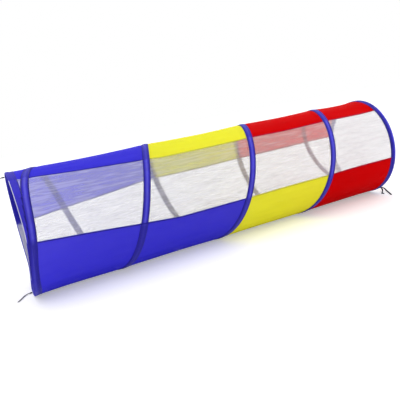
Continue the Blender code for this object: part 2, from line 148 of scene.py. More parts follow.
@dataclass(frozen=True)
class TunnelShape:
    """The tunnel's sizes, which repeat the part's, and the lines that follow from them."""

    length: float = 1.68
    radius: float = 0.235
    wire_radius: float = 0.0014
    half_height: float = 0.0032
    sleeve_width: float = 0.028
    hem_width: float = 0.025
    sewn_gap: float = 0.0003
    edge_gap: float = 0.0006
    wire_lay: float = 0.0036
    channel_wall: float = 0.0031
    panel_sag: float = 0.004
    sag_lift: float = 24.0
    foot_angle: float = 7.0
    step: float = 3.0
    closest_step: float = 0.3
    clear_step: float = 12.0
    sewing_tries: int = 10
    half_turns: tuple[float, ...] = (0.048, 0.130, 0.140, 0.120, 0.156, 0.114, 0.125, 0.167)
    left_slope: float = -0.07
    right_slope: float = 0.09
    left_lean: float = 90.0
    right_lean: float = 60.0
    run_in: float = 90.0
    netting_start: float = 79.9
    top_start: float = 142.3
    far_netting_start: float = 256.6
    lower_start: float = 325.9
    twist: float = 13.2
    twist_share: float = 0.33
    collapsed: float = 0.060
    foot_reach: float = 0.018
    near_reach_level: float = 50.0
    near_reach_end: float = 110.0
    far_reach_level: float = 4.0
    far_reach_end: float = 50.0
    left_overhang: float = 0.031815
    right_overhang: float = 0.024476

    @cached_property
    def turns(self) -> int:
        """The number of whole turns of the coil."""
        return len(self.half_turns) // 2

    @cached_property
    def last(self) -> float:
        """The turn angle at which the coil ends."""
        return 360.0 * self.turns

    @cached_property
    def axis_height(self) -> float:
        """The height of the tunnel's axis over the floor."""
        return self.radius * math.cos(math.radians(self.foot_angle)) + self.half_height

    @cached_property
    def left_x(self) -> float:
        """Where the left hoop's plane crosses the axis."""
        return (self.left_overhang - self.right_overhang) / 2 - self.length / 2

    @cached_property
    def right_x(self) -> float:
        """Where the right hoop's plane crosses the axis."""
        return self.left_x + self.length

    @cached_property
    def margin(self) -> float:
        """From the wire's middle to a panel's cut edge."""
        return self.sleeve_width / 2 + self.edge_gap

    @cached_property
    def first_clear(self) -> float:
        """Find the first turn angle where the coil's tape is clear of the left hem.

        Returns:
            The angle.
        """
        angle = 0.0
        room = self.hem_width + self.sewn_gap + self.channel_wall
        while self.coil_x(angle) - self.left_hoop_x(angle) < room:
            angle += self.clear_step
        return angle

    @cached_property
    def last_clear(self) -> float:
        """Find the last turn angle where the coil's tape is clear of the right hem.

        Returns:
            The angle.
        """
        angle = self.last
        room = self.hem_width + self.sewn_gap + self.channel_wall
        while self.right_hoop_x(angle) - self.coil_x(angle) < room:
            angle -= self.clear_step
        return angle

    def foot_distance(self, angle: float) -> float:
        """Degrees from the nearest foot of a turn."""
        return abs((angle + 180.0) % 360.0 - 180.0)

    def across(self, angle: float, offset: float = 0.0) -> tuple[float, float]:
        """Give the place across the tunnel at a turn angle.

        Args:
            angle: the turn angle.
            offset: how far outwards from the wire's middle.

        Returns:
            y and z.
        """
        turn = math.radians(angle)
        if self.foot_distance(angle) <= self.foot_angle + 1e-6:
            foot = self.radius * math.cos(math.radians(self.foot_angle)) + offset
            return -self.radius * math.sin(turn), self.axis_height - foot
        reach = self.radius + offset
        return -reach * math.sin(turn), self.axis_height - reach * math.cos(turn)

    def foot_pull(self, angle: float) -> float:
        """Give how far the left hoop's foot, and the coil beside it, stand out from the hoop's plane.

        Args:
            angle: the turn angle.

        Returns:
            The distance towards -X.
        """
        place = (angle + 180.0) % 360.0 - 180.0
        if place >= 0:
            level, end = self.near_reach_level, self.near_reach_end
        else:
            level, end = self.far_reach_level, self.far_reach_end
        return self.foot_reach * smooth((end - abs(place)) / (end - level))

    def left_hoop_x(self, angle: float) -> float:
        """The left hoop's wire at a turn angle."""
        return self.left_x + self.left_slope * self.across(angle)[0] - self.foot_pull(angle)

    def right_hoop_x(self, angle: float) -> float:
        """The right hoop's wire at a turn angle."""
        return self.right_x + self.right_slope * self.across(angle)[0]

    def advance(self, angle: float) -> float:
        """Give how much of the coil's length is reached, by its own share for each half turn.

        Args:
            angle: the turn angle.

        Returns:
            A share from 0 to 1.
        """
        shares = self.half_turns
        place = min(max(angle / 180.0, 0.0), float(len(shares)))
        index = min(int(place), len(shares) - 1)
        part = place - index
        rates = [0.0, shares[1]]
        rates += [(a + b) / 2 for a, b in zip(shares[1:], shares[2:])]
        rates.append(shares[-1])
        rise = smooth(part) * shares[index]
        leave = (part**3 - 2 * part**2 + part) * rates[index]
        arrive = (part**3 - part**2) * rates[index + 1]
        level = rates[-1] * part**6 * (1 - part) if index == len(shares) - 1 else 0.0
        return sum(shares[:index]) + rise + leave + arrive + level

    def coil_x(self, angle: float) -> float:
        """Place the wire along the coil.

        Args:
            angle: the turn angle.

        Returns:
            x.
        """
        y = self.across(angle)[0]
        left = self.left_slope * y * (1 - smooth((angle - self.left_lean) / self.left_lean))
        right = self.right_slope * y * smooth(1 + (angle - self.last) / self.right_lean)
        run = (self.length - 2 * self.wire_lay) * self.advance(angle)
        pull = self.foot_pull(angle) if angle < 180.0 else 0.0
        return self.left_x + self.wire_lay + run + left + right - pull

    def wire_x(self, angle: float) -> float:
        """Place the whole wire: the left hoop below 0, the coil, and the right hoop past the last angle.

        Args:
            angle: the turn angle.

        Returns:
            x.
        """
        if angle < 0:
            return self.left_hoop_x(angle) + self.wire_lay * smooth(1 + angle / self.run_in)
        if angle > self.last:
            past = (angle - self.last) / self.run_in
            return self.right_hoop_x(angle) - self.wire_lay * smooth(1 - past)
        return self.coil_x(angle)

    def strip_left(self, angle: float) -> float:
        """The line that the cloth strip's left edge is sewn to."""
        return self.left_hoop_x(angle) + self.wire_lay if angle < 0 else self.coil_x(angle)

    def strip_right(self, angle: float) -> float:
        """Place the line that the cloth strip's right edge is sewn to, a turn further on.

        Args:
            angle: the turn angle of the strip's left edge.

        Returns:
            x.
        """
        if angle + 360.0 > self.last:
            return self.right_hoop_x(angle) - self.wire_lay
        return self.coil_x(angle + 360.0)

    def twist_at(self, x: float) -> float:
        """Degrees that the cloth is turned round the tunnel at a place along it."""
        faded = (x - self.left_x) / (self.twist_share * self.length)
        return self.twist * min(max(1 - faded, 0.0), 1.0)

    def sewn(self, cloth_angle: float, line: Callable[[float], float], margin: float) -> float:
        """Find where a seam meets the line that its cloth is sewn to.

        Args:
            cloth_angle: the seam's angle on the untwisted cloth.
            line: strip_left or strip_right.
            margin: how far along the tunnel from that line.

        Returns:
            The place along the tunnel.
        """
        x = line(cloth_angle) + margin
        for _ in range(self.sewing_tries):
            x = line(cloth_angle + self.twist_at(x)) + margin
        return x

    def stops(self, start: float, end: float) -> list[float]:
        """List turn angles at whole steps, and at the edges of each flat foot.

        Args:
            start: the first angle.
            end: the last angle.

        Returns:
            The angles in order.
        """
        found = {round(start, 6), round(end, 6)}
        first, last = math.ceil(start / self.step), math.floor(end / self.step)
        inside = [self.step * i for i in range(first, last + 1)]
        for turn in range(math.floor(start / 360.0), math.ceil(end / 360.0) + 1):
            inside += [turn * 360.0 - self.foot_angle, turn * 360.0 + self.foot_angle]
        low, high = start + self.closest_step, end - self.closest_step
        found.update(round(stop, 6) for stop in inside if low < stop < high)
        return sorted(found)


SHAPE = TunnelShape()


@dataclass(frozen=True)
class TapeSection:
    """The section that the folded binding tape takes over the wire."""

    half_width: float = 0.014
    crown: float = 0.0027
    edge: float = 0.0008
    wall: float = 0.0005
    ridge: float = 0.0035
    belly_share: float = 0.72
    ridge_share: float = 0.28

    def height(self, away: float) -> float:
        """Give half of the outside height.

        Args:
            away: the distance from the wire's middle.

        Returns:
            The height.
        """
        share = min(abs(away) / self.half_width, 1.0)
        ridge = self.ridge_share * math.exp(-((away / self.ridge) ** 2))
        return self.edge + (self.crown - self.edge) * (self.belly_share * (1 - share**2) + ridge)


TAPE = TapeSection()


@dataclass
class Skin:
    """A grid of points that becomes one mesh, with a place on the cloth for each of them."""

    name: str
    rows: list[list[Point]]
    places: list[list[tuple[float, float]]]
    shades: dict[str, list[list[float]]] = field(default_factory=dict)
    round_rows: bool = False
    round_columns: bool = False
    capped: bool = False
    flat_ends: bool = False
    sharp_angle: float = 55.0

    def build(self, finish: bpy.types.Material) -> bpy.types.Object:
        """Make the object.

        Args:
            finish: its material.

        Returns:
            The object, at the origin, with the UV map and the shading attributes.
        """
        n, m = len(self.rows), len(self.rows[0])
        faces, corners = [], []
        for i in range(n if self.round_rows else n - 1):
            for j in range(m if self.round_columns else m - 1):
                ring = ((i, j), (i, j + 1), (i + 1, j + 1), (i + 1, j))
                faces.append([(a % n) * m + b % m for a, b in ring])
                corners += [self.places[a][b] for a, b in ring]
        if self.capped:
            for i in (0, n - 1):
                order = range(m) if i else range(m - 1, -1, -1)
                faces.append([i * m + j for j in order])
                corners += [self.places[i][j] for j in order]
        if self.flat_ends:
            for i in (0, n - 1):
                for j in range(m // 2 - 1):
                    ring = (j, j + 1, m - 2 - j, m - 1 - j)
                    faces.append([i * m + k for k in ring])
                    corners += [self.places[i][k] for k in ring]
        mesh = bpy.data.meshes.new(self.name)
        mesh.from_pydata([point for row in self.rows for point in row], [], faces)
        layer = mesh.uv_layers.new(name="UVMap")
        layer.data.foreach_set("uv", [value for corner in corners for value in corner])
        for name, grid in self.shades.items():
            values = [value for row in grid for value in row]
            mesh.attributes.new(name, "FLOAT", "POINT").data.foreach_set("value", values)
        mesh.materials.append(finish)
        shape = bmesh.new()
        shape.from_mesh(mesh)
        if self.round_rows or self.capped or self.flat_ends:
            bmesh.ops.recalc_face_normals(shape, faces=shape.faces)
        shape.to_mesh(mesh)
        shape.free()
        mesh.shade_smooth()
        mesh.set_sharp_from_angle(angle=math.radians(self.sharp_angle))
        return stand(self.name, mesh)


@dataclass(frozen=True)
class Cloud:
    """Smooth noise in a finish: its scale, its detail and how it is stretched along each axis."""

    scale: float
    detail: float = 3.0
    stretch: Point = (1.0, 1.0, 1.0)


@dataclass(frozen=True)
class Relief:
    """A bump in a finish: the height of a full step in metres, and how strongly it shows."""

    height: float
    strength: float


class Term:
    """A shader socket that can stand in a Python sum."""

    def __init__(self, bench: "Bench", socket: bpy.types.NodeSocket) -> None:
        """Keep the socket and the bench whose nodes it belongs to."""
        self.bench = bench
        self.socket = socket

    def _maths(self, operation: str, *values: "Term | float") -> "Term":
        """Add a Math node of that operation on the values."""
        return self.bench.node("ShaderNodeMath", {"operation": operation}, dict(enumerate(values)))

    def __add__(self, other: "Term | float") -> "Term":
        """The sum."""
        return self._maths("ADD", self, other)

    __radd__ = __add__

    def __sub__(self, other: "Term | float") -> "Term":
        """The difference."""
        return self._maths("SUBTRACT", self, other)

    def __rsub__(self, other: float) -> "Term":
        """The difference from a number."""
        return self._maths("SUBTRACT", other, self)

    def __mul__(self, other: "Term | float") -> "Term":
        """The product."""
        return self._maths("MULTIPLY", self, other)

    __rmul__ = __mul__

    def __pow__(self, other: "Term | float") -> "Term":
        """The power."""
        return self._maths("POWER", self, other)

    def wave(self, pitch: float) -> "Term":
        """A sine wave that repeats at a pitch."""
        return self._maths("SINE", self * (2 * math.pi / pitch))

    def size(self) -> "Term":
        """The value without its sign."""
        return self._maths("ABSOLUTE", self)

    def larger(self, other: "Term | float") -> "Term":
        """The larger of two."""
        return self._maths("MAXIMUM", self, other)

    def between(self, low: float, high: float) -> "Term":
        """0 below low, 1 above high, and smooth in between."""
        sockets = {"Value": self, "From Min": low, "From Max": high}
        return self.bench.node("ShaderNodeMapRange", {"interpolation_type": "SMOOTHSTEP"}, sockets)


class Bench:
    """The nodes of one material, or of the world."""

    def __init__(self, name: str, world: bpy.types.World | None = None) -> None:
        """Start a material, or empty the world's nodes.

        Args:
            name: the new material's name.
            world: the world to work on in place of a material.
        """
        self.material = world or bpy.data.materials.new(name)
        self.material.use_nodes = True
        self.tree = self.material.node_tree
        self.tree.nodes.clear()

    def node(self, kind: str, settings: dict, sockets: dict, output: int | str = 0) -> Term:
        """Add a node.

        Args:
            kind: the node's type.
            settings: its properties, which are set first.
            sockets: values or terms by input name or number.
            output: which output to return.

        Returns:
            That output as a term.
        """
        made = self.tree.nodes.new(kind)
        for name, value in settings.items():
            setattr(made, name, value)
        for name, value in sockets.items():
            if isinstance(value, Term):
                self.tree.links.new(value.socket, made.inputs[name])
            elif made.inputs[name].type == "RGBA":
                made.inputs[name].default_value = (*value, 1.0)
            else:
                made.inputs[name].default_value = value
        return Term(self, made.outputs[output])

    def place(self) -> Term:
        """The point in the object's own coordinates."""
        return self.node("ShaderNodeTexCoord", {}, {}, "Object")

    def on_cloth(self) -> tuple[Term, Term]:
        """Read the UV map.

        Returns:
            The places along and across the cloth, in metres.
        """
        spot = self.node("ShaderNodeUVMap", {"uv_map": "UVMap"}, {})
        along = self.node("ShaderNodeSeparateXYZ", {}, {"Vector": spot})
        return along, Term(self, along.socket.node.outputs[1])

    def shade(self, name: str) -> Term:
        """A float attribute of the mesh."""
        return self.node("ShaderNodeAttribute", {"attribute_name": name}, {}, "Fac")

    def cloud(self, spot: Term, cloud: Cloud) -> Term:
        """Lay noise over a piece.

        Args:
            spot: the point to read it at.
            cloud: the noise.

        Returns:
            A value from 0 to 1.
        """
        moved = self.node("ShaderNodeMapping", {}, {"Vector": spot, "Scale": cloud.stretch})
        sockets = {"Vector": moved, "Scale": cloud.scale, "Detail": cloud.detail}
        return self.node("ShaderNodeTexNoise", {}, sockets)

    def mix(self, share: Term | float, first: Term | Colour, second: Term | Colour) -> Term:
        """The first colour at share 0 and the second at 1."""
        return self.node("ShaderNodeMix", {"data_type": "RGBA"}, {0: share, 6: first, 7: second}, 2)

    def bump(self, height: Term, relief: Relief, under: Term | None = None) -> Term:
        """Add a bump.

        Args:
            height: its height as a share.
            relief: the height of a full share, and its strength.
            under: another bump that it lies on.

        Returns:
            The bumped normal.
        """
        sockets = {"Height": height, "Distance": relief.height, "Strength": relief.strength}
        if under is not None:
            sockets["Normal"] = under
        return self.node("ShaderNodeBump", {}, sockets)

    def looked_at(self) -> Term:
        """Tell looking rays from light.

        Returns:
            1 for the rays of the camera and those that metal or glass sends on, and 0 for light.
        """
        path = self.node("ShaderNodeLightPath", {}, {}, "Is Camera Ray")
        outputs = path.socket.node.outputs
        shiny, clear = Term(self, outputs["Is Glossy Ray"]), Term(self, outputs["Is Transmission Ray"])
        return path.larger(shiny).larger(clear)

    def surface(self, sockets: dict) -> bpy.types.Material:
        """Finish with a Principled shader.

        Args:
            sockets: values or terms by input name.

        Returns:
            The material.
        """
        self.show(self.node("ShaderNodeBsdfPrincipled", {}, sockets))
        return self.material

    def show(self, shader: Term, kind: str = "ShaderNodeOutputMaterial") -> None:
        """Link a shader to the output."""
        output = self.tree.nodes.new(kind)
        self.tree.links.new(shader.socket, output.inputs["Surface"])


def lit_through(share: float, depth: float) -> dict[str, float | Colour]:
    """The constants of a thin cloth that lets light through: how much of it, and how deep it spreads."""
    return {"Subsurface Weight": share, "Subsurface Radius": (1.0, 1.0, 1.0), "Subsurface Scale": depth}


@dataclass(frozen=True)
class ClothFinish:
    """Thin woven polyester, creased along the tunnel, doubled at the seams and lit through from outside,
    with painted shade along its creases and painted light on its inner face.
    """

    name: str
    colour: Colour
    shadow: Colour
    # painted light: a paler copy of the dye for the inner face, standing for light that comes through the
    # cloth
    inner: Colour
    creases: Relief = Relief(0.0016, 0.8)
    weave_pitch: float = 0.0009
    weave: Relief = Relief(0.00012, 0.5)
    broad: Cloud = Cloud(3.0, stretch=(1.0, 2.2, 2.2))
    broad_tone: float = 0.5
    folds: Cloud = Cloud(38.0, 4.0, (0.16, 1.0, 1.0))
    fold_tone: float = 0.35
    base_tone: float = 0.12
    shadow_band: Band = (0.0, 0.6)
    shadow_share: float = 0.45
    inner_share: float = 0.9
    seam_band: Band = (0.35, 1.0)
    seam_share: float = 0.55
    roughness: float = 0.6
    roughness_spread: float = 0.15
    shine: float = 0.02
    light_share: float = 0.85
    light_depth: float = 0.0025

    def make(self) -> bpy.types.Material:
        """Build the material.

        Returns:
            The material.
        """
        bench = Bench(self.name)
        along, across = bench.on_cloth()
        spot = bench.place()
        broad = bench.cloud(spot, self.broad)
        folds = bench.cloud(spot, self.folds)
        weave = along.wave(self.weave_pitch) * across.wave(self.weave_pitch)
        # random broad tone, and painted shade that follows the crease noise
        tone = (broad - 0.5) * self.broad_tone + (folds - 0.5) * self.fold_tone + self.base_tone
        colour = bench.mix(tone.between(*self.shadow_band) * self.shadow_share, self.colour, self.shadow)
        # painted light on the inner face, where the mesh's glow attribute is set
        colour = bench.mix(bench.shade("glow") * self.inner_share, colour, self.inner)
        seam = bench.shade("edge").between(*self.seam_band)
        colour = bench.mix(seam * self.seam_share, colour, self.shadow)
        return bench.surface(
            {
                "Base Color": colour,
                "Roughness": folds * self.roughness_spread + self.roughness,
                "Normal": bench.bump(folds, self.creases, bench.bump(weave, self.weave)),
                "Specular IOR Level": self.shine,
                **lit_through(self.light_share, self.light_depth),
            }
        )


@dataclass(frozen=True)
class NettingFinish:
    """Fine white knitted netting: threads round small holes that the far side shows through."""

    name: str = "white_netting"
    colour: Colour = linear(218, 218, 220)
    light: Colour = linear(224, 224, 228)
    doubled: Colour = linear(206, 206, 214)
    pitch: float = 0.0024
    sharpness: float = 5.0
    thread_alpha: float = 0.245
    hole_alpha: float = 0.13
    closer_alpha: float = 0.16
    closer_tint: float = 0.8
    streaks: Cloud = Cloud(105.0, 2.5, (0.08, 1.0, 1.0))
    streak_band: Band = (0.46, 0.64)
    streak_alpha: float = 0.085
    edge_band: Band = (0.2, 0.9)
    edge_alpha: float = 0.15
    folds: Cloud = Cloud(14.0, 2.0, (0.2, 1.0, 1.0))
    creases: Relief = Relief(0.0003, 0.3)
    roughness: float = 0.8
    shine: float = 0.1
    light_share: float = 0.9
    light_depth: float = 0.003

    def make(self) -> bpy.types.Material:
        """Build the material.

        Returns:
            The material.
        """
        bench = Bench(self.name)
        along, across = (part.wave(2 * self.pitch).size() ** self.sharpness for part in bench.on_cloth())
        threads = along.larger(across)
        spot = bench.place()
        folds = bench.cloud(spot, self.folds)
        edge = bench.shade("edge").between(*self.edge_band)
        close = bench.shade("close")
        alpha = threads * (self.thread_alpha - self.hole_alpha) + self.hole_alpha + close * self.closer_alpha
        streaks = bench.cloud(spot, self.streaks).between(*self.streak_band)
        thread = bench.mix(streaks, self.colour, self.light)
        return bench.surface(
            {
                "Base Color": bench.mix(edge.larger(close * self.closer_tint), thread, self.doubled),
                "Roughness": self.roughness,
                "Alpha": alpha + streaks * self.streak_alpha + edge * self.edge_alpha,
                "Normal": bench.bump(folds, self.creases),
                "Specular IOR Level": self.shine,
                **lit_through(self.light_share, self.light_depth),
            }
        )


@dataclass(frozen=True)
class TapeFinish:
    """Woven binding tape: ribbed across, with a painted highlight on its crown, painted shade with dark
    stitching at its edges, painted shade where cloth keeps the light from behind off it, and painted light
    on its inner face where netting covers it.
    """

    name: str = "blue_binding_tape"
    colour: Colour = linear(58, 50, 204)
    # painted highlight along the tape's middle
    crown: Colour = linear(90, 86, 226)
    # painted shade at the stitched edges, together with their dark stitching; the random wear also darkens
    # toward it
    edge: Colour = linear(28, 23, 112)
    # painted shade where cloth keeps the light from behind off the tape
    veiled: Colour = linear(42, 36, 156)
    # the netting's white over the tape's inner face, with painted light that stands for light coming through
    # the tape from behind
    frosted: Colour = linear(222, 224, 255)
    crown_band: Band = (0.1, 0.45)
    edge_band: Band = (0.45, 0.88)
    edge_share: float = 0.95
    wear: Cloud = Cloud(22.0, 4.0)
    wear_start: float = 0.35
    wear_band: Band = (0.0, 0.5)
    wear_share: float = 0.25
    veil_share: float = 0.85
    rib_pitch: float = 0.0012
    ribs: Relief = Relief(0.00015, 0.4)
    lumps: Cloud = Cloud(60.0, 2.0)
    lump_relief: Relief = Relief(0.0008, 0.6)
    roughness: float = 0.45
    roughness_spread: float = 0.2
    shine: float = 0.12
    light_share: float = 0.9
    light_depth: float = 0.0025

    def make(self) -> bpy.types.Material:
        """Build the material.

        Returns:
            The material.
        """
        bench = Bench(self.name)
        along = bench.on_cloth()[0]
        spot = bench.place()
        wear = bench.cloud(spot, self.wear)
        worn = (wear - self.wear_start).between(*self.wear_band)
        edge = bench.shade("edge")
        # painted highlight on the crown, then painted shade and dark stitching toward the edges
        colour = bench.mix(1 - edge.between(*self.crown_band), self.colour, self.crown)
        colour = bench.mix(edge.between(*self.edge_band) * self.edge_share, colour, self.edge)
        colour = bench.mix(worn * self.wear_share, colour, self.edge)
        # painted shade where cloth keeps the light from behind off the tape
        colour = bench.mix(bench.shade("veil") * self.veil_share, colour, self.veiled)
        # the netting's white and painted light on the tape's inner face under netting
        colour = bench.mix(bench.shade("frost"), colour, self.frosted)
        lumps = bench.cloud(spot, self.lumps)
        ribs = bench.bump(along.wave(self.rib_pitch), self.ribs)
        return bench.surface(
            {
                "Base Color": colour,
                "Roughness": wear * self.roughness_spread + self.roughness,
                "Normal": bench.bump(lumps, self.lump_relief, ribs),
                "Specular IOR Level": self.shine,
                **lit_through(self.light_share, self.light_depth),
            }
        )


@dataclass(frozen=True)
class ThreadFinish:
    """Sewing thread, twisted and a little shiny."""

    name: str
    colour: Colour
    twist: Cloud = Cloud(900.0, 1.0)
    twist_relief: Relief = Relief(0.0001, 0.5)
    twist_tone: float = 0.5
    dark_share: float = 0.5
    roughness: float = 0.45

    def make(self) -> bpy.types.Material:
        """Build the material.

        Returns:
            The material.
        """
        bench = Bench(self.name)
        twist = bench.cloud(bench.place(), self.twist)
        dark = tuple(value * self.dark_share for value in self.colour)
        colour = bench.mix(twist * self.twist_tone, self.colour, dark)
        normal = bench.bump(twist, self.twist_relief)
        return bench.surface({"Base Color": colour, "Roughness": self.roughness, "Normal": normal})


@dataclass(frozen=True)
class RibbonFinish:
    """Narrow grosgrain ribbon with ribs across it, a painted highlight on the rib tops and random fuzz tone.
    """

    name: str = "navy_ribbon"
    colour: Colour = linear(17, 16, 44)
    # painted highlight on the rib tops
    light: Colour = linear(32, 31, 70)
    rib_pitch: float = 0.0011
    rib_relief: Relief = Relief(0.00025, 0.7)
    rib_band: Band = (-0.2, 1.0)
    rib_tone: float = 0.4
    fuzz: Cloud = Cloud(240.0)
    fuzz_tone: float = 0.2
    roughness: float = 0.6
    roughness_spread: float = 0.2
    shine: float = 0.15

    def make(self) -> bpy.types.Material:
        """Build the material.

        Returns:
            The material.
        """
        bench = Bench(self.name)
        ribs = bench.on_cloth()[0].wave(self.rib_pitch)
        fuzz = bench.cloud(bench.place(), self.fuzz)
        tone = ribs.between(*self.rib_band) * self.rib_tone + fuzz * self.fuzz_tone
        return bench.surface(
            {
                "Base Color": bench.mix(tone, self.colour, self.light),
                "Roughness": fuzz * self.roughness_spread + self.roughness,
                "Normal": bench.bump(ribs, self.rib_relief),
                "Specular IOR Level": self.shine,
            }
        )


@dataclass(frozen=True)
class SteelFinish:
    """Drawn or crimped steel with fine lines along it."""

    name: str
    colour: Colour
    roughness: float
    roughness_spread: float = 0.2
    lines: Cloud = Cloud(300.0, 2.0, (6.0, 1.0, 1.0))
    line_relief: Relief = Relief(0.00005, 0.4)
    line_tone: float = 0.4
    dark_share: float = 0.6

    def make(self) -> bpy.types.Material:
        """Build the material.

        Returns:
            The material.
        """
        bench = Bench(self.name)
        lines = bench.cloud(bench.place(), self.lines)
        dark = tuple(value * self.dark_share for value in self.colour)
        return bench.surface(
            {
                "Base Color": bench.mix(lines * self.line_tone, self.colour, dark),
                "Metallic": 1.0,
                "Roughness": lines * self.roughness_spread + self.roughness,
                "Normal": bench.bump(lines, self.line_relief),
            }
        )


@dataclass
class Body:
    """One moving body of the frame, and its place along the tunnel."""

    name: str
    anchor: float

    def carry(self, piece: bpy.types.Object, slot: str, *nodes: str) -> bpy.types.Object:
        """Let a piece ride on the body and stand for CAD nodes.

        Args:
            piece: the finished piece.
            slot: the record's material slot; not used.
            nodes: the CAD nodes that it stands for.

        Returns:
            The piece.
        """
        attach(piece, self.name)
        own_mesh(piece)
        if nodes:
            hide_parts(*nodes)
        log.info("%s on %s: %d faces", piece.name, self.name, len(piece.data.polygons))
        return piece


@dataclass
class Frame:
    """The loaded frame and its moving bodies."""

    loaded: dict
    bodies: dict[str, Body] = field(default_factory=dict)

    def __post_init__(self) -> None:
        """Work out each body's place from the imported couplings."""
        behaviour = self.loaded["record"]["behaviour"]
        shares = {row["joint"]: row["ratio"] for row in behaviour["couplings"]}
        shares["collapse"] = 1.0
        self.bodies["left_end"] = Body("left_end", SHAPE.left_x)
        for joint in behaviour["joints"]:
            anchor = SHAPE.left_x + shares[joint["name"]] * SHAPE.length
            self.bodies[joint["child"]] = Body(joint["child"], anchor)


@dataclass
class StitchLines:
    """Lines along which the thread of one body's seams runs."""

    lines: list[list[Point]] = field(default_factory=list)
    pitch: float = 0.0046
    length: float = 0.0030
    thread: float = 0.0006
    shortest: float = 0.85
    longest: float = 1.1
    seed: int = 7

    def tree(self, finish: bpy.types.Material) -> bpy.types.GeometryNodeTree:
        """Build the nodes that lay a stitch at each pitch along each line.

        Args:
            finish: the thread's material.

        Returns:
            The tree, whose inputs are Pitch, Stitch Length and Thread.
        """
        tree = bpy.data.node_groups.new("stitches_along_lines", "GeometryNodeTree")
        face = tree.interface
        face.new_socket("Geometry", in_out="INPUT", socket_type="NodeSocketGeometry")
        for name in ("Pitch", "Stitch Length", "Thread"):
            face.new_socket(name, in_out="INPUT", socket_type="NodeSocketFloat")
        face.new_socket("Geometry", in_out="OUTPUT", socket_type="NodeSocketGeometry")
        kinds = {
            "start": "NodeGroupInput",
            "curve": "GeometryNodeMeshToCurve",
            "points": "GeometryNodeCurveToPoints",
            "ball": "GeometryNodeMeshIcoSphere",
            "wobble": "FunctionNodeRandomValue",
            "longer": "ShaderNodeMath",
            "scale": "ShaderNodeCombineXYZ",
            "align": "FunctionNodeAlignRotationToVector",
            "place": "GeometryNodeInstanceOnPoints",
            "real": "GeometryNodeRealizeInstances",
            "dress": "GeometryNodeSetMaterial",
            "end": "NodeGroupOutput",
        }
        nodes = {name: tree.nodes.new(kind) for name, kind in kinds.items()}
        nodes["points"].mode = "LENGTH"
        nodes["wobble"].data_type = "FLOAT"
        nodes["longer"].operation = "MULTIPLY"
        nodes["align"].axis = "X"
        values = (
            ("ball", "Radius", 0.5),
            ("ball", "Subdivisions", 1),
            ("wobble", "Min", self.shortest),
            ("wobble", "Max", self.longest),
            ("wobble", "Seed", self.seed),
            ("dress", "Material", finish),
        )
        for name, socket, value in values:
            nodes[name].inputs[socket].default_value = value
        links = (
            ("start", "Geometry", "curve", "Mesh"),
            ("curve", "Curve", "points", "Curve"),
            ("start", "Pitch", "points", "Length"),
            ("start", "Stitch Length", "longer", 0),
            ("wobble", 1, "longer", 1),
            ("longer", 0, "scale", "X"),
            ("start", "Thread", "scale", "Y"),
            ("start", "Thread", "scale", "Z"),
            ("points", "Tangent", "align", "Vector"),
            ("points", "Points", "place", "Points"),
            ("ball", "Mesh", "place", "Instance"),
            ("align", "Rotation", "place", "Rotation"),
            ("scale", "Vector", "place", "Scale"),
            ("place", "Instances", "real", "Geometry"),
            ("real", "Geometry", "dress", "Geometry"),
            ("dress", "Geometry", "end", "Geometry"),
        )
        for source, output, target, socket in links:
            tree.links.new(nodes[source].outputs[output], nodes[target].inputs[socket])
        return tree

    def build(self, name: str, finish: bpy.types.Material) -> bpy.types.Object:
        """Sew along every line.

        Args:
            name: the piece's name.
            finish: the thread's material.

        Returns:
            One plain mesh of all the stitches.
        """
        points, edges = [], []
        for line in self.lines:
            edges += [(len(points) + i, len(points) + i + 1) for i in range(len(line) - 1)]
            points += line
        mesh = bpy.data.meshes.new(name + "_lines")
        mesh.from_pydata(points, edges, [])
        guide = stand(name + "_lines", mesh)
        sewing = guide.modifiers.new("stitches", "NODES")
        sewing.node_group = self.tree(finish)
        values = {"Pitch": self.pitch, "Stitch Length": self.length, "Thread": self.thread}
        for item in sewing.node_group.interface.items_tree:
            if item.in_out == "INPUT" and item.name in values:
                sewing[item.identifier] = values[item.name]
        seen = guide.evaluated_get(bpy.context.evaluated_depsgraph_get())
        result = bpy.data.meshes.new_from_object(seen)
        result.name = name
        bpy.data.objects.remove(guide)
        return stand(name, result)


@dataclass(frozen=True)
class Wave:
    """Gentle unevenness of cloth: its height, its lengths round and along the tunnel, and its slant."""

    height: float
    around: float
    along: float
    seed: float
    slant: float = 0.0

    def at(self, run: float, x: float) -> float:
        """Its height at a run round the tunnel and a place along it."""
        return self.height * ripple((run + self.slant * x) / self.around, x / self.along, self.seed)


class End(Enum):
    """The tunnel's two ends. The value is 1 where the coil lies at +X of the hoop, and else -1."""

    LEFT = 1
    RIGHT = -1

    @property
    def body(self) -> str:
        """The moving body that the end's hem and ferrule ride on."""
        return f"{self.name.lower()}_end"

    def hoop_x(self, angle: float) -> float:
        """The end hoop's wire at a turn angle."""
        return SHAPE.left_hoop_x(angle) if self is End.LEFT else SHAPE.right_hoop_x(angle)


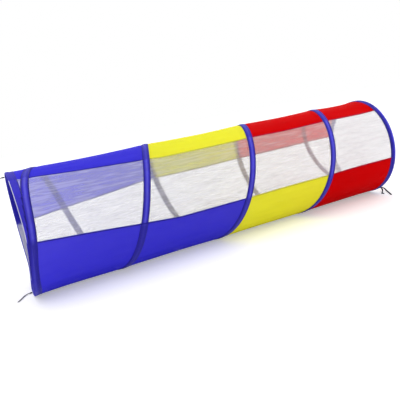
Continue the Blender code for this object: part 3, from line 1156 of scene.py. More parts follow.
@dataclass
class SpringCore:
    """The spring wire inside the tapes, and the two crimped ferrules that close its end hoops."""

    wire_overlap: float = 0.008
    wire_sides: int = 10
    ferrule_half: float = 0.008
    ferrule_wall: float = 0.0005
    ferrule_bore: float = 0.0017
    ferrule_rings: int = 9
    ferrule_sides: int = 20
    crimps: tuple[float, ...] = (-0.0045, 0.0, 0.0045)
    crimp_depth: float = 0.00018
    crimp_width: float = 0.001
    facet: float = 0.001
    drawn: SteelFinish = SteelFinish("drawn_spring_steel", (0.50, 0.51, 0.53), 0.28)
    crimped: SteelFinish = SteelFinish("crimped_steel", (0.62, 0.62, 0.63), 0.38)

    def wire(self, finish: bpy.types.Material) -> bpy.types.Object:
        """Build the one wire, from the left hoop through the coil to the right hoop.

        Args:
            finish: its material.

        Returns:
            The wire.
        """
        over = math.degrees(self.wire_overlap / SHAPE.radius)
        stops = SHAPE.stops(-360.0 - over, SHAPE.last + 360.0 + over)
        for foot in (0.0, SHAPE.last):
            stops += [foot - over, foot + over]
        stops.sort()
        middles = [Vector((SHAPE.wire_x(stop), *SHAPE.across(stop))) for stop in stops]
        rows, places, run = [], [], 0.0
        for i, middle in enumerate(middles):
            before, after = middles[max(i - 1, 0)], middles[min(i + 1, len(middles) - 1)]
            along = (after - before).normalized()
            outward = Vector((0, middle.y, middle.z - SHAPE.axis_height))
            outward = (outward - along * outward.dot(along)).normalized()
            side = along.cross(outward)
            ring = []
            for k in range(self.wire_sides):
                turn = 2 * math.pi * k / self.wire_sides
                spot = middle + (outward * math.cos(turn) + side * math.sin(turn)) * SHAPE.wire_radius
                ring.append(tuple(spot))
            run += (middle - before).length
            rows.append(ring)
            places.append([(run, k * self.facet) for k in range(self.wire_sides + 1)])
        return Skin("spring_wire_core", rows, places, round_columns=True, capped=True).build(finish)

    def ferrule(self, end: End, finish: bpy.types.Material) -> bpy.types.Object:
        """Build the crimped oval sleeve round the two strands at an end's foot.

        Args:
            end: the end whose hoop it closes.
            finish: its material.

        Returns:
            The ferrule.
        """
        outer, inner, places = [], [], []
        height = SHAPE.across(0.0)[1]
        for i in range(self.ferrule_rings):
            y = -self.ferrule_half + 2 * self.ferrule_half * i / (self.ferrule_rings - 1)
            dent = sum(math.exp(-(((y - crimp) / self.crimp_width) ** 2)) for crimp in self.crimps)
            outside = self.ferrule_bore + self.ferrule_wall - self.crimp_depth * dent
            hoop = end.hoop_x(-math.degrees(math.asin(y / SHAPE.radius)))
            for loop, radius in ((outer, outside), (inner, self.ferrule_bore)):
                ring = []
                for k in range(self.ferrule_sides):
                    turn = 2 * math.pi * (k + 0.5) / self.ferrule_sides
                    strand = math.copysign(SHAPE.wire_lay / 2, math.cos(turn))
                    x = hoop + end.value * SHAPE.wire_lay / 2 + strand + radius * math.cos(turn)
                    ring.append((x, y, height + radius * math.sin(turn)))
                loop.append(ring)
            places.append([(y, k * self.facet) for k in range(self.ferrule_sides + 1)])
        rows = outer + inner[::-1]
        grid = places + places[::-1] + [places[0]]
        name = f"{end.name.lower()}_ferrule_crimped"
        return Skin(name, rows, grid, round_rows=True, round_columns=True).build(finish)

    def build(self, frame: Frame) -> None:
        """Build the wire and both ferrules on their bodies.

        Args:
            frame: the frame.
        """
        drawn, crimped = self.drawn.make(), self.crimped.make()
        frame.bodies["turn_3"].carry(self.wire(drawn), "spring_steel", "spring_wire")
        for end in End:
            node = f"{end.name.lower()}_wire_ferrule"
            frame.bodies[end.body].carry(self.ferrule(end, crimped), "ferrule_steel", node)


@dataclass
class BindingTapes:
    """The tape sleeves round the coil and the folded hems round the end hoops."""

    samples: int = 13
    hem_samples: int = 18
    fold_samples: int = 7
    stitch_inset: float = 0.0026
    stitch_lift: float = 0.0002
    thinnest: float = 0.0002
    cut: float = 0.00015
    lumps: Wave = Wave(0.00022, 0.011, 0.012, 3.7)
    swell: Wave = Wave(0.00022, 0.045, 1.0, 8.1)
    pressed: float = 8.0
    hem_flat: float = 0.006
    hem_slope: float = 0.011
    hem_edge: float = 0.0010
    clear_nudge: float = 0.06
    # painted shade on tape that lies over cloth, which keeps the light from behind off it
    over_cloth: float = 0.7
    window_blend: float = 1.2
    hidden_start: float = 4.0
    hidden_blend: float = 10.0
    hidden_away: float = 0.006
    hidden_fade: float = 0.008
    rim_width: float = 0.0045
    left_fade: float = 0.03
    left_tone: float = 0.48
    left_rim: float = 0.4
    right_fade: float = 0.016
    right_tone: float = 0.7
    right_edge: float = 0.78
    right_rim: float = 0.22
    rows: dict[str, StitchLines] = field(default_factory=dict)

    def within(self, angle: float, low: float, high: float) -> float:
        """1 between two angles and 0 past them, with a short blend inside each."""
        return min(smooth((high - angle) / self.window_blend), smooth((angle - low) / self.window_blend))

    def veil(self, angle: float) -> float:
        """Give the painted shade on the coil's tape where cloth keeps the light from behind off it: 1 where
        the tape lies under the lower blue cloth.

        Args:
            angle: the turn angle.

        Returns:
            A share from 0, over netting, to 1.
        """
        x = SHAPE.coil_x(max(angle, 0.0))
        shift = SHAPE.twist_at(x)
        for base in (0.0, 360.0):
            low = base + (SHAPE.lower_start - 360.0) + shift
            high = base + SHAPE.netting_start + shift
            if low <= angle <= high:
                return max(self.over_cloth, self.within(angle, low, high))
        return self.over_cloth * (1 - self.frost(angle, x))

    def frost(self, angle: float, x: float) -> float:
        """Give how far the netting's sewn edge covers a tape inside the tunnel, where the tape's inner face
        takes the netting's white and painted light from behind.

        Args:
            angle: the turn angle.
            x: the tape's place along the tunnel.

        Returns:
            A share from 0 to 1.
        """
        place = (angle - SHAPE.twist_at(x)) % 360.0
        near = self.within(place, SHAPE.netting_start, SHAPE.top_start)
        return max(near, self.within(place, SHAPE.far_netting_start, SHAPE.lower_start))

    def uneven(self, angle: float, away: float) -> float:
        """The slight lumps of real tape over its wire."""
        run = math.radians(angle) * SHAPE.radius
        return self.lumps.at(run, away) + self.swell.at(run, 0.0)

    def lift(self, angle: float) -> float:
        """0 on the flat foot, which presses the tape even, and 1 away from it."""
        return smooth((SHAPE.foot_distance(angle) - SHAPE.foot_angle) / self.pressed)

    def sleeve(self, turn: int, finish: bpy.types.Material) -> bpy.types.Object:
        """Build the flattened tube of tape over one turn of the coil, and note its rows of stitches.

        Args:
            turn: the turn's number, from 1.
            finish: its material.

        Returns:
            The tape.
        """
        gap = math.degrees(self.cut / SHAPE.radius)
        start = 360.0 * (turn - 1) + gap if turn > 1 else SHAPE.first_clear
        end = 360.0 * turn - gap if turn < SHAPE.turns else SHAPE.last_clear
        outer, inner, places, edges, back_shades, netting_and_backlights = [], [], [], [], [], []
        lines = {-1: [], 1: []}
        half = TAPE.half_width
        for stop in SHAPE.stops(start, end):
            middle = SHAPE.coil_x(stop)
            left, right = half, half
            if stop < 180.0:
                left = min(half, middle - SHAPE.left_hoop_x(stop) - SHAPE.hem_width - SHAPE.sewn_gap)
            if stop > SHAPE.last - 180.0:
                right = min(half, SHAPE.right_hoop_x(stop) - middle - SHAPE.hem_width - SHAPE.sewn_gap)
            aways = [-left + (left + right) * k / (self.samples - 1) for k in range(self.samples)]
            lift = self.lift(stop)
            for loop, wall in ((outer, 0.0), (inner, TAPE.wall)):
                ring = []
                for sign in (1, -1):
                    for away in aways[::sign]:
                        high = TAPE.height(away) - wall
                        high += self.uneven(stop, away) * lift if not wall else 0.0
                        inset = away * (1 - wall / half) if wall else away
                        ring.append((middle + inset, *SHAPE.across(stop, sign * max(high, self.thinnest))))
                loop.append(ring)
            run = math.radians(stop) * SHAPE.radius
            spots = [(run, away) for away in aways] + [(run, half * 2 - away) for away in aways[::-1]]
            places.append([*spots, spots[0]])
            # the tape's edge share, which its finish reads as a painted highlight on the crown and painted
            # shade at the edges
            sides = [abs(away) / half for away in aways]
            edges.append(sides + sides[::-1])
            back_shades.append([self.veil(stop)] * (2 * self.samples))
            netting_and_backlights.append([0.0] * self.samples + [self.frost(stop, middle)] * self.samples)
            for sign, reach in ((-1, left), (1, right)):
                if reach >= half:
                    away = sign * (half - self.stitch_inset)
                    high = TAPE.height(away) + self.stitch_lift
                    lines[sign].append((middle + away, *SHAPE.across(stop, high)))
        self.rows[f"turn_{turn}"].lines += [line for line in lines.values() if len(line) > 1]
        rows = outer + inner[::-1]
        shades = {"edge": edges, "veil": back_shades, "frost": netting_and_backlights}
        shades = {shade: grid + grid[::-1] for shade, grid in shades.items()}
        grid = places + places[::-1] + [places[0]]
        name = f"binding_tape_turn_{turn}"
        return Skin(name, rows, grid, shades, round_rows=True, round_columns=True).build(finish)

    def hem_height(self, away: float, coil_away: float | None) -> float:
        """Half of the hem's outside height.

        Args:
            away: the distance from the hoop's wire.
            coil_away: where the coil's wire lies inside the hem, if it does.

        Returns:
            The height, with the second ridge over the coil's wire.
        """
        level = 1 - smooth((away - self.hem_flat) / self.hem_slope)
        base = self.hem_edge + (TAPE.crown - self.hem_edge) * level
        if away > SHAPE.hem_width:
            base = TAPE.edge
        if coil_away is None or abs(away - coil_away) > TAPE.half_width:
            return base
        return max(base, TAPE.height(away - coil_away))

    def hem_shade(self, away: float, width: float, coil_away: float | None, end: End) -> float:
        """A place on the hem's edge value, up to 1, which its colour reads as a painted highlight when low
        and as painted shade with dark stitching when high, highest at a stitched edge.

        Args:
            away: the distance from the hoop's wire.
            width: the hem's width there.
            coil_away: where the coil's wire lies inside the hem, if it does.
            end: the hem's end; the right hem gets more painted shade than the left.

        Returns:
            The coil's own edges where its tape lies over the hem, and the hem's edge elsewhere.
        """
        if coil_away is not None and abs(away - coil_away) <= TAPE.half_width:
            return abs(away - coil_away) / TAPE.half_width
        rim = smooth(1 - (width - away) / self.rim_width)
        if end is End.LEFT:
            return max(min(abs(away) / self.left_fade, self.left_tone), self.left_tone + self.left_rim * rim)
        edge = self.right_edge + self.right_rim * rim if rim > 0 else 0.0
        return max(min(abs(away) / self.right_fade, self.right_tone), edge)

    def hem(self, end: End, finish: bpy.types.Material) -> bpy.types.Object:
        """Build the hem folded over an end hoop, and note its row of stitches.

        Args:
            end: the hem's end.
            finish: its material.

        Returns:
            The hem, open inwards like a U, with the coil's wire still in it near the foot.
        """
        side, on_left = end.value, end is End.LEFT
        rows, places, edges, back_shades, netting_and_backlights, line = [], [], [], [], [], []
        first = 0.0 if on_left else SHAPE.last - 360.0
        clear = SHAPE.first_clear if on_left else SHAPE.last_clear - first
        stops = SHAPE.stops(0.0, 360.0)[:-1]
        stops = sorted(stops + [clear - self.clear_nudge * side])
        turns = [math.pi * (k + 1) / (self.fold_samples + 1) for k in range(self.fold_samples)]
        for stop in stops:
            hoop = end.hoop_x(stop)
            coil_angle = stop if on_left else first + (stop if stop else 360.0)
            flared = stop < clear if on_left else (stop > clear or stop == 0.0)
            coil_away: float | None = side * (SHAPE.coil_x(coil_angle) - hoop)
            width = max(SHAPE.hem_width, coil_away + TAPE.half_width) if flared else SHAPE.hem_width
            if coil_away > SHAPE.hem_width + TAPE.half_width:
                coil_away = None
            lift = self.lift(stop)
            ring, spots, shades = [], [], []
            aways = [width * (1 - k / (self.hem_samples - 1)) for k in range(self.hem_samples)]
            for wall in (0.0, TAPE.wall):
                profile = [(away, self.hem_height(away, coil_away) - wall) for away in aways]
                if not wall:
                    profile = [(away, high + self.uneven(stop, away) * lift) for away, high in profile]
                reach = TAPE.crown - wall
                fold = [(-reach * math.sin(turn), reach * math.cos(turn)) for turn in turns]
                whole = profile + fold + [(away, -high) for away, high in profile[::-1]]
                for away, high in whole[::-1] if wall else whole:
                    ring.append((hoop + side * away, *SHAPE.across(stop, high)))
                    spots.append((math.radians(stop) * SHAPE.radius, math.copysign(1, high) * away))
                    shades.append(self.hem_shade(away, width, coil_away, end))
            # painted shade where the flared left hem lies under the lower blue cloth
            shade_under_cloth = self.veil(coil_angle) if flared and on_left else 0.0
            shade_under_cloth *= smooth((stop - self.hidden_start) / self.hidden_blend)
            frosted = self.frost(stop, hoop)
            shade_over_cloth = self.over_cloth * (1 - frosted)
            veil, frost = [], []
            for _, away in spots:
                veil.append(max(shade_over_cloth, shade_under_cloth * smooth((abs(away) - self.hidden_away) / self.hidden_fade)))
                frost.append(frosted if away < 0 else 0.0)
            rows.append(ring)
            places.append([*spots, spots[0]])
            edges.append(shades)
            back_shades.append(veil)
            netting_and_backlights.append(frost)
            sewn = width - self.stitch_inset
            high = self.hem_height(sewn, coil_away) + self.stitch_lift
            line.append((hoop + side * sewn, *SHAPE.across(stop, high)))
        self.rows[end.body].lines.append(line + [line[0]])
        places.append([(math.radians(360.0) * SHAPE.radius, spot[1]) for spot in places[0]])
        grids = {"edge": edges, "veil": back_shades, "frost": netting_and_backlights}
        name = f"{end.name.lower()}_hem_folded"
        return Skin(name, rows, places, grids, round_rows=True, round_columns=True).build(finish)

    def build(self, frame: Frame) -> None:
        """Build the sleeves and hems on their bodies.

        Args:
            frame: the frame.
        """
        tape = TapeFinish().make()
        for turn in range(1, SHAPE.turns + 1):
            piece = self.sleeve(turn, tape)
            frame.bodies[f"turn_{turn}"].carry(piece, "blue_tape", f"coil_sleeve_{turn}")
        for end in End:
            frame.bodies[end.body].carry(self.hem(end, tape), "blue_tape", f"{end.body}_hem")


@dataclass
class ClothSkin:
    """The cloth and netting strip, cut into the panels that the colours make, and the seams on it."""

    cloth_thickness: float = 0.0005
    netting_thickness: float = 0.0004
    tuck: float = 0.0125
    tuck_start: float = 2.0
    tuck_blend: float = 12.0
    entry: float = 0.004
    under_gap: float = 0.0006
    under_fade: float = 0.009
    narrowest: float = 0.0008
    steps_per_degree: int = 4
    column_angle: float = 1.6
    row_length: float = 0.0075
    fewest: int = 8
    most_rows: int = 56
    even_share: float = 0.7
    crowded_share: float = 0.15
    drape: Wave = Wave(0.0011, 0.030, 0.30, 1.3)
    pull: Wave = Wave(0.0014, 0.075, 0.22, 5.9, 0.35)
    pucker: Wave = Wave(0.0009, 0.0085, 0.05, 9.4)
    free_from: float = 0.03
    foot_freedom: float = 0.25
    pucker_start: float = 0.004
    pucker_reach: float = 0.016
    foot_pucker: float = 0.2
    shade_reach: float = 0.001
    shade_fade: float = 0.002
    shaded: float = 0.65
    edge_width: float = 0.006
    closer: str = "near_netting_4"
    seam_half: float = 0.0026
    seam_thickness: float = 0.0006
    seam_step: float = 0.008
    seam_gap: float = 0.0002
    seam_settle: float = 0.012
    shortest_seam: float = 0.02
    fewest_seam_steps: int = 6
    welt_height: float = 0.0006
    welt_crown: float = 0.0003
    welt_creases: Relief = Relief(0.0004, 0.8)
    welt_columns: int = 3
    welt_tone: float = 0.5
    stitch_column: int = 2
    stitch_lift: float = 0.0001
    shadow_shares: Colour = (0.55, 0.55, 0.62)
    inner_gain: float = 1.4
    inner_lift: float = 0.08
    blue_seam: float = 0.55
    bright_seam: float = 0.8
    seam_shadow: float = 0.7
    cut: float = 0.0001
    smallest_flat: float = 0.0101
    rows: dict[str, StitchLines] = field(default_factory=dict)
    tops: tuple[Dye, ...] = (Dye.BLUE, Dye.BLUE, Dye.YELLOW, Dye.RED, Dye.RED)
    lowers: tuple[Dye, ...] = (Dye.BLUE, Dye.BLUE, Dye.BLUE, Dye.YELLOW, Dye.RED)

    def tucks(self, cloth_angle: float) -> tuple[float, float]:
        """Give how far the cloth is tucked under the tapes at its ends.

        Args:
            cloth_angle: the angle on the untwisted cloth.

        Returns:
            A share for the left and for the right end: 0 in a hem and 1 under a tape.
        """
        turned = cloth_angle + SHAPE.twist_at(SHAPE.strip_left(cloth_angle))
        left = smooth((turned - SHAPE.first_clear - self.tuck_start) / self.tuck_blend)
        right = smooth((SHAPE.last_clear - self.tuck_start - (cloth_angle + 360.0)) / self.tuck_blend)
        return left, right

    def margin(self, tuck: float) -> float:
        """How far from its wire the cloth begins, where it is tucked by that share."""
        return SHAPE.margin - SHAPE.edge_gap - self.tuck * tuck - self.entry * (1 - tuck)

    def ends(self, cloth_angle: float, tucked: bool = True) -> tuple[float, float]:
        """Find the strip's ends.

        Args:
            cloth_angle: the angle on the untwisted cloth.
            tucked: whether the allowance under the tapes counts.

        Returns:
            The left and the right end along the tunnel.
        """
        margins = map(self.margin, self.tucks(cloth_angle)) if tucked else (SHAPE.margin, SHAPE.margin)
        left, right = margins
        left_end = SHAPE.sewn(cloth_angle, SHAPE.strip_left, left)
        return left_end, SHAPE.sewn(cloth_angle, SHAPE.strip_right, -right)

    def under(self, away: float, tucked: float) -> float:
        """Give how far the cloth dips to pass under a tape.

        Args:
            away: the distance from the tape's wire.
            tucked: the share that the cloth is tucked by.

        Returns:
            The dip.
        """
        if away < TAPE.half_width:
            return (TAPE.height(away) + self.under_gap) * tucked
        fade = 1 - smooth((away - TAPE.half_width) / self.under_fade)
        return (TAPE.edge + self.under_gap) * tucked * fade

    def offset(self, cloth_angle: float, x: float, ends: tuple[float, float]) -> float:
        """Give the cloth's place off the wire's circle.

        Args:
            cloth_angle: the angle on the untwisted cloth.
            x: the place along the tunnel.
            ends: the untucked ends of the strip at this angle.

        Returns:
            The distance outwards, which is mostly below zero, from sag, folds and tucks.
        """
        left, right = ends
        width = max(right - left, 1e-4)
        share = min(max((x - left) / width, 0.0), 1.0)
        angle = cloth_angle + SHAPE.twist_at(x)
        lift = smooth((SHAPE.foot_distance(angle) - SHAPE.foot_angle) / SHAPE.sag_lift)
        sag = SHAPE.panel_sag * min(1.0, width / SHAPE.radius) ** 2 * 4 * share * (1 - share) * lift
        run = math.radians(angle) * SHAPE.radius
        near = max(min(x - left, right - x), 0.0)
        free = smooth(near / self.free_from) * (self.foot_freedom + (1 - self.foot_freedom) * lift)
        pinch = math.exp(-near / self.pucker_reach) * smooth(near / self.pucker_start)
        pinch *= self.foot_pucker + (1 - self.foot_pucker) * lift
        folds = (self.drape.at(run, x) + self.pull.at(run, x)) * free + self.pucker.at(run, x) * pinch
        aways = x - left + SHAPE.margin, right - x + SHAPE.margin
        return folds - sag - sum(map(self.under, aways, self.tucks(cloth_angle)))

    def covered(self, cloth_angle: float, x: float, ends: tuple[float, float]) -> float:
        """Give how far a tape or hem lies behind the cloth, where painted shade dims the painted light on
        its inner face.

        Args:
            cloth_angle: the angle on the untwisted cloth.
            x: the place along the tunnel.
            ends: the untucked ends of the strip at this angle.

        Returns:
            1 behind a tape and 0 elsewhere.
        """
        reach = TAPE.half_width + self.shade_reach
        aways = x - ends[0] + SHAPE.margin, ends[1] - x + SHAPE.margin
        tucks = self.tucks(cloth_angle)
        return max(smooth((reach - away) / self.shade_fade) * tuck for away, tuck in zip(aways, tucks))

    def span(self, start: float, end: float) -> tuple[float, float]:
        """Find the part of a stretch of the strip that is wide enough to be cloth.

        Args:
            start: the stretch's first angle on the untwisted cloth.
            end: its last angle.

        Returns:
            The first and the last angle of that part.
        """
        steps = round((end - start) * self.steps_per_degree)
        wide = []
        for i in range(steps + 1):
            angle = start + (end - start) * i / steps
            left, right = self.ends(angle, tucked=False)
            if right - left >= self.narrowest:
                wide.append(angle)
        return wide[0], wide[-1]

    def panel(
        self, name: str, start: float, end: float, thickness: float, finish: bpy.types.Material
    ) -> tuple[bpy.types.Object, float]:
        """Build one panel.

        Args:
            name: the piece's name.
            start: its first angle on the untwisted cloth.
            end: its last angle.
            thickness: the cloth's thickness.
            finish: its material.

        Returns:
            The panel and its width round the tunnel.
        """
        start, end = self.span(start, end)
        columns = max(self.fewest, round((end - start) / self.column_angle)) + 1
        angles = [start + (end - start) * i / (columns - 1) for i in range(columns)]
        longest = max(right - left for left, right in map(self.ends, angles))
        count = min(max(round(longest / self.row_length), self.fewest), self.most_rows)
        shares = []
        for j in range(count + 1):
            crowded = self.crowded_share * (1 - math.cos(math.pi * j / count))
            shares.append(self.even_share * j / count + crowded)
        close = 1.0 if name.startswith(self.closer) else 0.0
        rows, places, edges, painted_glows, closes = [], [], [], [], []
        for angle in angles:
            left, right = self.ends(angle)
            bare = self.ends(angle, tucked=False)
            row, spots, glow = [], [], []
            for face in (1, -1):
                for share in shares[::face]:
                    x = left + (right - left) * share
                    turned = angle + SHAPE.twist_at(x)
                    offset = self.offset(angle, x, bare) + face * thickness / 2
                    row.append((x, *SHAPE.across(turned, offset)))
                    spots.append((math.radians(turned) * SHAPE.radius, x))
                    # painted light on the inner face, dimmed by painted shade where a tape lies behind it
                    glow.append(1 - self.shaded * self.covered(angle, x, bare) if face < 0 else 0.0)
            side = min(angle - start, end - angle) * math.radians(1) * SHAPE.radius
            rows.append(row)
            places.append([*spots, spots[0]])
            edges.append([smooth(1 - side / self.edge_width)] * len(row))
            painted_glows.append(glow)
            closes.append([close] * len(row))
        shades = {"edge": edges, "glow": painted_glows, "close": closes}
        made = Skin(name, rows, places, shades, round_columns=True, flat_ends=True).build(finish)
        return made, math.radians(end - start) * SHAPE.radius

    def seam(
        self, name: str, body: str, cloth_angle: float, over_left: bool, finish: bpy.types.Material
    ) -> bpy.types.Object:
        """Build a flat-felled seam across the strip, and note its two rows of stitches.

        Args:
            name: the piece's name.
            body: the body that it rides on.
            cloth_angle: its angle on the untwisted cloth.
            over_left: whether it also crosses over the tape at its left.
            finish: its material.

        Returns:
            The seam's welt.
        """
        bare = self.ends(cloth_angle, tucked=False)
        left, right = bare
        if over_left:
            left -= 2 * SHAPE.margin
        count = max(self.fewest_seam_steps, round((right - left) / self.seam_step))
        half = math.degrees(self.seam_half / SHAPE.radius)
        rows, places, edges = [], [], []
        lines: dict[int, list[Point]] = {-1: [], 1: []}
        for i in range(count + 1):
            x = left + (right - left) * i / count
            away = x - bare[0] + SHAPE.margin
            row, spots, shades = [], [], []
            for k in range(-self.welt_columns, self.welt_columns + 1):
                turned = cloth_angle + half * k / self.welt_columns
                if away < SHAPE.margin:
                    under = TAPE.height(away) if abs(away) < TAPE.half_width else TAPE.edge
                    base = under + self.seam_gap
                else:
                    base = self.offset(turned, x, bare)
                    if over_left:
                        settled = smooth((away - SHAPE.margin) / self.seam_settle)
                        base = max(base, (TAPE.edge + self.seam_gap) * (1 - settled))
                welt = self.welt_height + self.welt_crown * (1 - abs(k) / self.welt_columns)
                angle = turned + SHAPE.twist_at(x)
                row.append((x, *SHAPE.across(angle, base + welt)))
                spots.append((x, math.radians(angle) * SHAPE.radius))
                # painted shade: the welt darker toward its sides than along its raised middle
                shades.append(self.welt_tone + (1 - self.welt_tone) * abs(k) / self.welt_columns)
                if abs(k) == self.stitch_column:
                    lift = welt + self.seam_thickness / 2 + self.stitch_lift
                    lines[k // abs(k)].append((x, *SHAPE.across(angle, base + lift)))
            rows.append(row)
            places.append(spots)
            edges.append(shades)
        self.rows[body].lines += list(lines.values())
        made = Skin(name, rows, places, {"edge": edges}).build(finish)
        thick = made.modifiers.new("thickness", "SOLIDIFY")
        thick.thickness = self.seam_thickness
        thick.offset = 0.0
        return made

    def finishes(self) -> tuple[dict[Dye | None, bpy.types.Material], dict[Dye, bpy.types.Material]]:
        """Make the materials of the panels and the seams.

        Returns:
            The panels' materials by colour, with the netting's under None, and the seams' by colour.
        """
        cloths, welts = {None: NettingFinish().make()}, {}
        for dye in Dye:
            dark = tuple(value * share for value, share in zip(dye.value, self.shadow_shares))
            # painted light: the dye made lighter for the inner face, and yellow gets no extra lift
            lighter = 0.0 if dye is Dye.YELLOW else self.inner_lift
            pale = tuple(min(self.inner_gain * value + lighter, 1.0) for value in dye.value)
            cloths[dye] = ClothFinish(dye.slot, dye.value, dark, pale).make()
            seam = self.blue_seam if dye is Dye.BLUE else self.bright_seam
            deep = tuple(value * seam for value in dye.value)
            deeper = tuple(value * self.seam_shadow for value in deep)
            welts[dye] = ClothFinish(f"{dye.slot}_seam", deep, deeper, deep, self.welt_creases).make()
        return cloths, welts

    def build(self, frame: Frame) -> None:
        """Build every panel and seam on its body.

        Args:
            frame: the frame.
        """
        cloths, welts = self.finishes()
        gap = math.degrees(self.cut / SHAPE.radius)
        for turn in range(SHAPE.turns + 1):
            base = 360.0 * (turn - 1)
            number = str(turn) if turn else "start"
            body = f"turn_{turn}" if turn else "left_end"
            top, lower = self.tops[turn], self.lowers[turn]
            following = self.lowers[min(turn + 1, SHAPE.turns)]
            stretches = [
                (Stretch.NEAR_NETTING, SHAPE.netting_start, SHAPE.top_start, None),
                (Stretch.TOP, SHAPE.top_start, SHAPE.far_netting_start, top),
                (Stretch.FAR_NETTING, SHAPE.far_netting_start, SHAPE.lower_start, None),
            ]
            seams = [
                ("top_seam", SHAPE.top_start, top),
                ("far_top_seam", SHAPE.far_netting_start, top),
                ("far_lower_seam", SHAPE.lower_start, following),
            ]
            if turn:
                stretches.insert(0, (Stretch.LOWER, SHAPE.lower_start - 360.0, SHAPE.netting_start, lower))
                seams.insert(2, ("lower_seam", SHAPE.netting_start, lower))
            for stretch, start, end, dye in stretches:
                node = f"{stretch.value}_{number}"
                self.place(frame, node, body, base + start + gap, base + end - gap, dye, cloths[dye])
            for name, angle, dye in seams:
                left, right = self.ends(base + angle, tucked=False)
                if right - left < self.shortest_seam:
                    continue
                over = name == "lower_seam" and turn == 2
                piece = self.seam(f"{name}_{number}", body, base + angle, over, welts[dye])
                frame.bodies[body].carry(piece, dye.slot)
        start = SHAPE.last - 360.0 + SHAPE.lower_start + gap
        self.place(frame, "lower_panel_end", "turn_4", start, SHAPE.last, Dye.RED, cloths[Dye.RED])

    def place(
        self, frame: Frame, node: str, body: str, start: float, end: float, dye: Dye | None,
        finish: bpy.types.Material,
    ) -> None:
        """Build a panel and put it on its body.

        Args:
            frame: the frame.
            node: the CAD node that it stands for.
            body: the body's name.
            start: the first angle on the untwisted cloth.
            end: the last angle.
            dye: its colour, or None for netting.
            finish: its material.
        """
        thickness = self.cloth_thickness if dye else self.netting_thickness
        piece, width = self.panel(f"{node}_sewn", start, end, thickness, finish)
        frame.bodies[body].carry(piece, dye.slot if dye else "netting", node)


class Lay(Enum):
    """How a free tie lies."""

    HANGING = "hanging"
    LOOSE = "loose"


@dataclass(frozen=True)
class Tie:
    """One short ribbon tie: its body, its lay and length, and its route from the tab."""

    name: str
    body: str
    lay: Lay
    length: float
    route: tuple[Point, ...]
    across: Point | None = None


TIES = (
    Tie(
        "left_top_tie", "left_end", Lay.HANGING, 0.063,
        ((-0.8575, 0.0993, 0.4495), (-0.8695, 0.0993, 0.4480), (-0.8775, 0.0990, 0.4390),
         (-0.8795, 0.0985, 0.4250), (-0.8785, 0.0980, 0.4120), (-0.8775, 0.0978, 0.4010)),
        (0.0, 1.0, 0.0),
    ),
    Tie(
        "left_bottom_tie", "left_end", Lay.LOOSE, 0.070,
        ((-0.8686, 0.0, 0.0032), (-0.8765, -0.001, 0.0026), (-0.8865, -0.009, 0.0018),
         (-0.8955, -0.024, 0.0016), (-0.9035, -0.040, 0.0016), (-0.9105, -0.052, 0.0016)),
    ),
    Tie(
        "right_bottom_long_tie", "right_end", Lay.LOOSE, 0.120,
        ((0.8491, -0.0976, 0.0227), (0.8613, -0.0980, 0.0225), (0.8713, -0.105, 0.0170),
         (0.8703, -0.122, 0.0060), (0.8593, -0.145, 0.0017), (0.8453, -0.166, 0.0016),
         (0.8333, -0.185, 0.0016)),
    ),
    Tie(
        "right_bottom_short_tie", "right_end", Lay.LOOSE, 0.062,
        ((0.8491, -0.1010, 0.0243), (0.8558, -0.1030, 0.0210), (0.8543, -0.1110, 0.0110),
         (0.8433, -0.1180, 0.0030), (0.8333, -0.1280, 0.0016), (0.8343, -0.1390, 0.0016)),
    ),
)


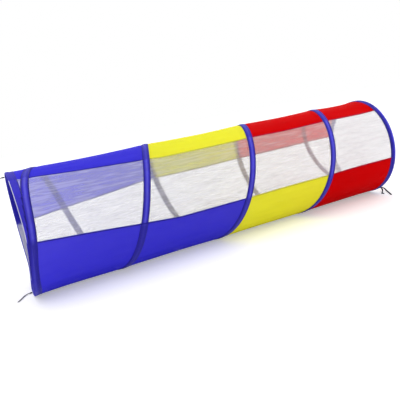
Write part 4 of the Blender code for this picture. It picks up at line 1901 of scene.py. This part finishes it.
@dataclass
class Ribbons:
    """The ties, which are free cords, and the tabs that hold them."""

    width: float = 0.0075
    thickness: float = 0.0024
    spacing: float = 0.0015
    tilt: float = 20.0
    curve_steps: int = 20
    shoulder: float = 0.4
    curl: float = 0.0004
    curl_length: float = 0.009
    tabs: tuple[str, ...] = ("left_top_tie_tab", "left_bottom_tie_tab", "right_bottom_tie_tab")

    def line(self, route: Sequence[Point]) -> Line:
        """Draw one smooth curve through a tie's route.

        Args:
            route: the points to pass.

        Returns:
            Points at an even spacing along it.
        """
        spots = [Vector(point) for point in route]
        ends = [2 * spots[0] - spots[1], *spots, 2 * spots[-1] - spots[-2]]
        dense = []
        for before, here, there, after in zip(ends, ends[1:], ends[2:], ends[3:]):
            for i in range(self.curve_steps):
                t = i / self.curve_steps
                bend = (2 * before - 5 * here + 4 * there - after) * t**2
                turn = (3 * here - before - 3 * there + after) * t**3
                dense.append((2 * here + (there - before) * t + bend + turn) / 2)
        dense.append(spots[-1])
        runs = [0.0]
        for a, b in zip(dense, dense[1:]):
            runs.append(runs[-1] + (b - a).length)
        count = round(runs[-1] / self.spacing)
        made, index = [], 0
        for k in range(count + 1):
            target = runs[-1] * k / count
            while index < len(runs) - 2 and runs[index + 1] < target:
                index += 1
            share = (target - runs[index]) / (runs[index + 1] - runs[index])
            made.append(dense[index].lerp(dense[index + 1], share))
        return made

    def ribbon(self, tie: Tie, finish: bpy.types.Material) -> bpy.types.Object:
        """Args:
            tie: the tie.
            finish: its material.

        Returns:
            The ribbon.
        """
        line = self.line(tie.route)
        rows, places, run = [], [], 0.0
        half, thin = self.width / 2, self.thickness / 2
        inner = half * self.shoulder
        upper = [(-half + thin, thin), (-inner, thin), (inner, thin), (half - thin, thin)]
        section = [(-half, 0.0), *upper, (half, 0.0), *((a, -b) for a, b in upper[::-1])]
        for i, spot in enumerate(line):
            before, after = line[max(i - 1, 0)], line[min(i + 1, len(line) - 1)]
            along = (after - before).normalized()
            side = Vector(tie.across) if tie.across else Vector((0, 0, 1)).cross(along)
            side = (side - along * side.dot(along)).normalized()
            if not tie.across:
                side = (side + along.cross(side) * math.tan(math.radians(self.tilt))).normalized()
            up = along.cross(side)
            run += (spot - before).length if i else 0.0
            curl = self.curl * math.sin(run / self.curl_length)
            rows.append([tuple(spot + side * a + up * (b + curl * abs(a) / half)) for a, b in section])
            places.append([(run, a) for a, _ in section] + [(run, section[0][0])])
        made = Skin(f"{tie.name}_ribbon", rows, places, round_columns=True, capped=True).build(finish)
        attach(made, tie.body)
        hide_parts(tie.name)
        log.info("%s on %s: %d faces", made.name, tie.body, len(made.data.polygons))
        return made

    def build(self, frame: Frame) -> None:
        """Build every tie and dress the tabs.

        Args:
            frame: the frame.
        """
        ribbon = RibbonFinish().make()
        for tie in TIES:
            self.ribbon(tie, ribbon)
        for tab in self.tabs:
            for socket in frame.loaded["nodes"][tab].material_slots:
                socket.material = ribbon


@dataclass(frozen=True)
class Lamp:
    """One square soft lamp: where it hangs, what it is turned to, its size and its power."""

    name: str
    spot: Point
    aim: Point
    size: float
    power: float

    def build(self) -> None:
        """Hang the lamp."""
        light = bpy.data.lights.new(self.name, "AREA")
        light.shape, light.size, light.energy = "SQUARE", self.size, self.power
        made = stand(self.name, light)
        made.location = self.spot
        made.rotation_euler = (Vector(self.aim) - Vector(self.spot)).to_track_quat("-Z", "Y").to_euler()


@dataclass
class Studio:
    """A pale floor, soft lamps, a pale world and the photograph's camera."""

    eye: Point = (-0.7879, -1.6932, 0.5893)
    yaw: float = 0.3851
    pitch: float = 0.2182
    roll: float = -0.1761
    lens: float = 38.01
    sensor: float = 36.0
    nearest: float = 0.05
    farthest: float = 60.0
    white: Colour = (1.0, 1.0, 1.0)
    world_level: float = 0.93
    floor_size: float = 14.0
    floor_drop: float = 0.0006
    floor_paint: Colour = (0.88, 0.88, 0.88)
    floor_glow: float = 0.35
    lamps: tuple[Lamp, ...] = (
        Lamp("high_soft_lamp", (-0.4, -1.2, 3.2), (0.0, 0.0, 0.2), 3.0, 18.0),
        Lamp("front_fill_lamp", (0.6, -3.4, 1.6), (0.1, 0.0, 0.2), 2.4, 6.3),
    )

    def floor(self) -> None:
        """A wide pale floor that looks white to the camera and keeps its shadow."""
        size = self.floor_size
        mesh = bpy.data.meshes.new("studio_floor")
        corners = [(-size, -size, 0), (size, -size, 0), (size, size, 0), (-size, size, 0)]
        mesh.from_pydata(corners, [], [(0, 1, 2, 3)])
        bench = Bench("floor_paint")
        paint = bench.node("ShaderNodeBsdfDiffuse", {}, {"Color": self.floor_paint})
        strength = bench.looked_at() * self.floor_glow
        glow = bench.node("ShaderNodeEmission", {}, {"Color": self.white, "Strength": strength})
        bench.show(bench.node("ShaderNodeAddShader", {}, {0: paint, 1: glow}))
        mesh.materials.append(bench.material)
        made = stand("studio_floor", mesh)
        made.location = (0.0, 0.0, -self.floor_drop)

    def camera(self) -> None:
        """The photograph's viewing place and angle."""
        level = math.cos(self.pitch)
        forward = Vector((math.sin(self.yaw) * level, math.cos(self.yaw) * level, -math.sin(self.pitch)))
        right = Vector((math.cos(self.yaw), -math.sin(self.yaw), 0.0))
        up = right.cross(forward)
        turned = math.cos(self.roll) * right + math.sin(self.roll) * up
        upright = -math.sin(self.roll) * right + math.cos(self.roll) * up
        data = bpy.data.cameras.new("camera")
        data.lens, data.sensor_width = self.lens, self.sensor
        data.clip_start, data.clip_end = self.nearest, self.farthest
        made = stand("camera", data)
        axes = Matrix((turned, upright, -forward)).transposed().to_4x4()
        made.matrix_world = Matrix.Translation(self.eye) @ axes
        bpy.context.scene.camera = made

    def world(self) -> None:
        """An even pale world, white to the camera."""
        made = bpy.data.worlds.new("studio_world")
        bench = Bench(made.name, made)
        level = bench.looked_at() * (1.0 - self.world_level) + self.world_level
        back = bench.node("ShaderNodeBackground", {}, {"Color": self.white, "Strength": level})
        bench.show(back, "ShaderNodeOutputWorld")
        bpy.context.scene.world = made

    def build(self) -> None:
        """Build the whole studio."""
        self.floor()
        self.world()
        for lamp in self.lamps:
            lamp.build()
        self.camera()
        bpy.context.scene.view_settings.view_transform = "Standard"


def main() -> None:
    """Build the studio, the ties, the wire, the tapes and the cloth, in that order."""
    logging.basicConfig(level=logging.INFO, format="%(message)s")
    for old in list(bpy.data.objects):
        bpy.data.objects.remove(old, do_unlink=True)
    frame = Frame(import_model())
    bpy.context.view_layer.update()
    Studio().build()
    Ribbons().build(frame)
    SpringCore().build(frame)
    rows = {name: StitchLines() for name in frame.bodies}
    BindingTapes(rows=rows).build(frame)
    ClothSkin(rows=rows).build(frame)
    thread = ThreadFinish("blue_thread", linear(46, 40, 170)).make()
    for name, body in frame.bodies.items():
        if rows[name].lines:
            body.carry(rows[name].build(f"stitches_{name}", thread), "blue_tape")


if __name__ == "__main__":
    main()
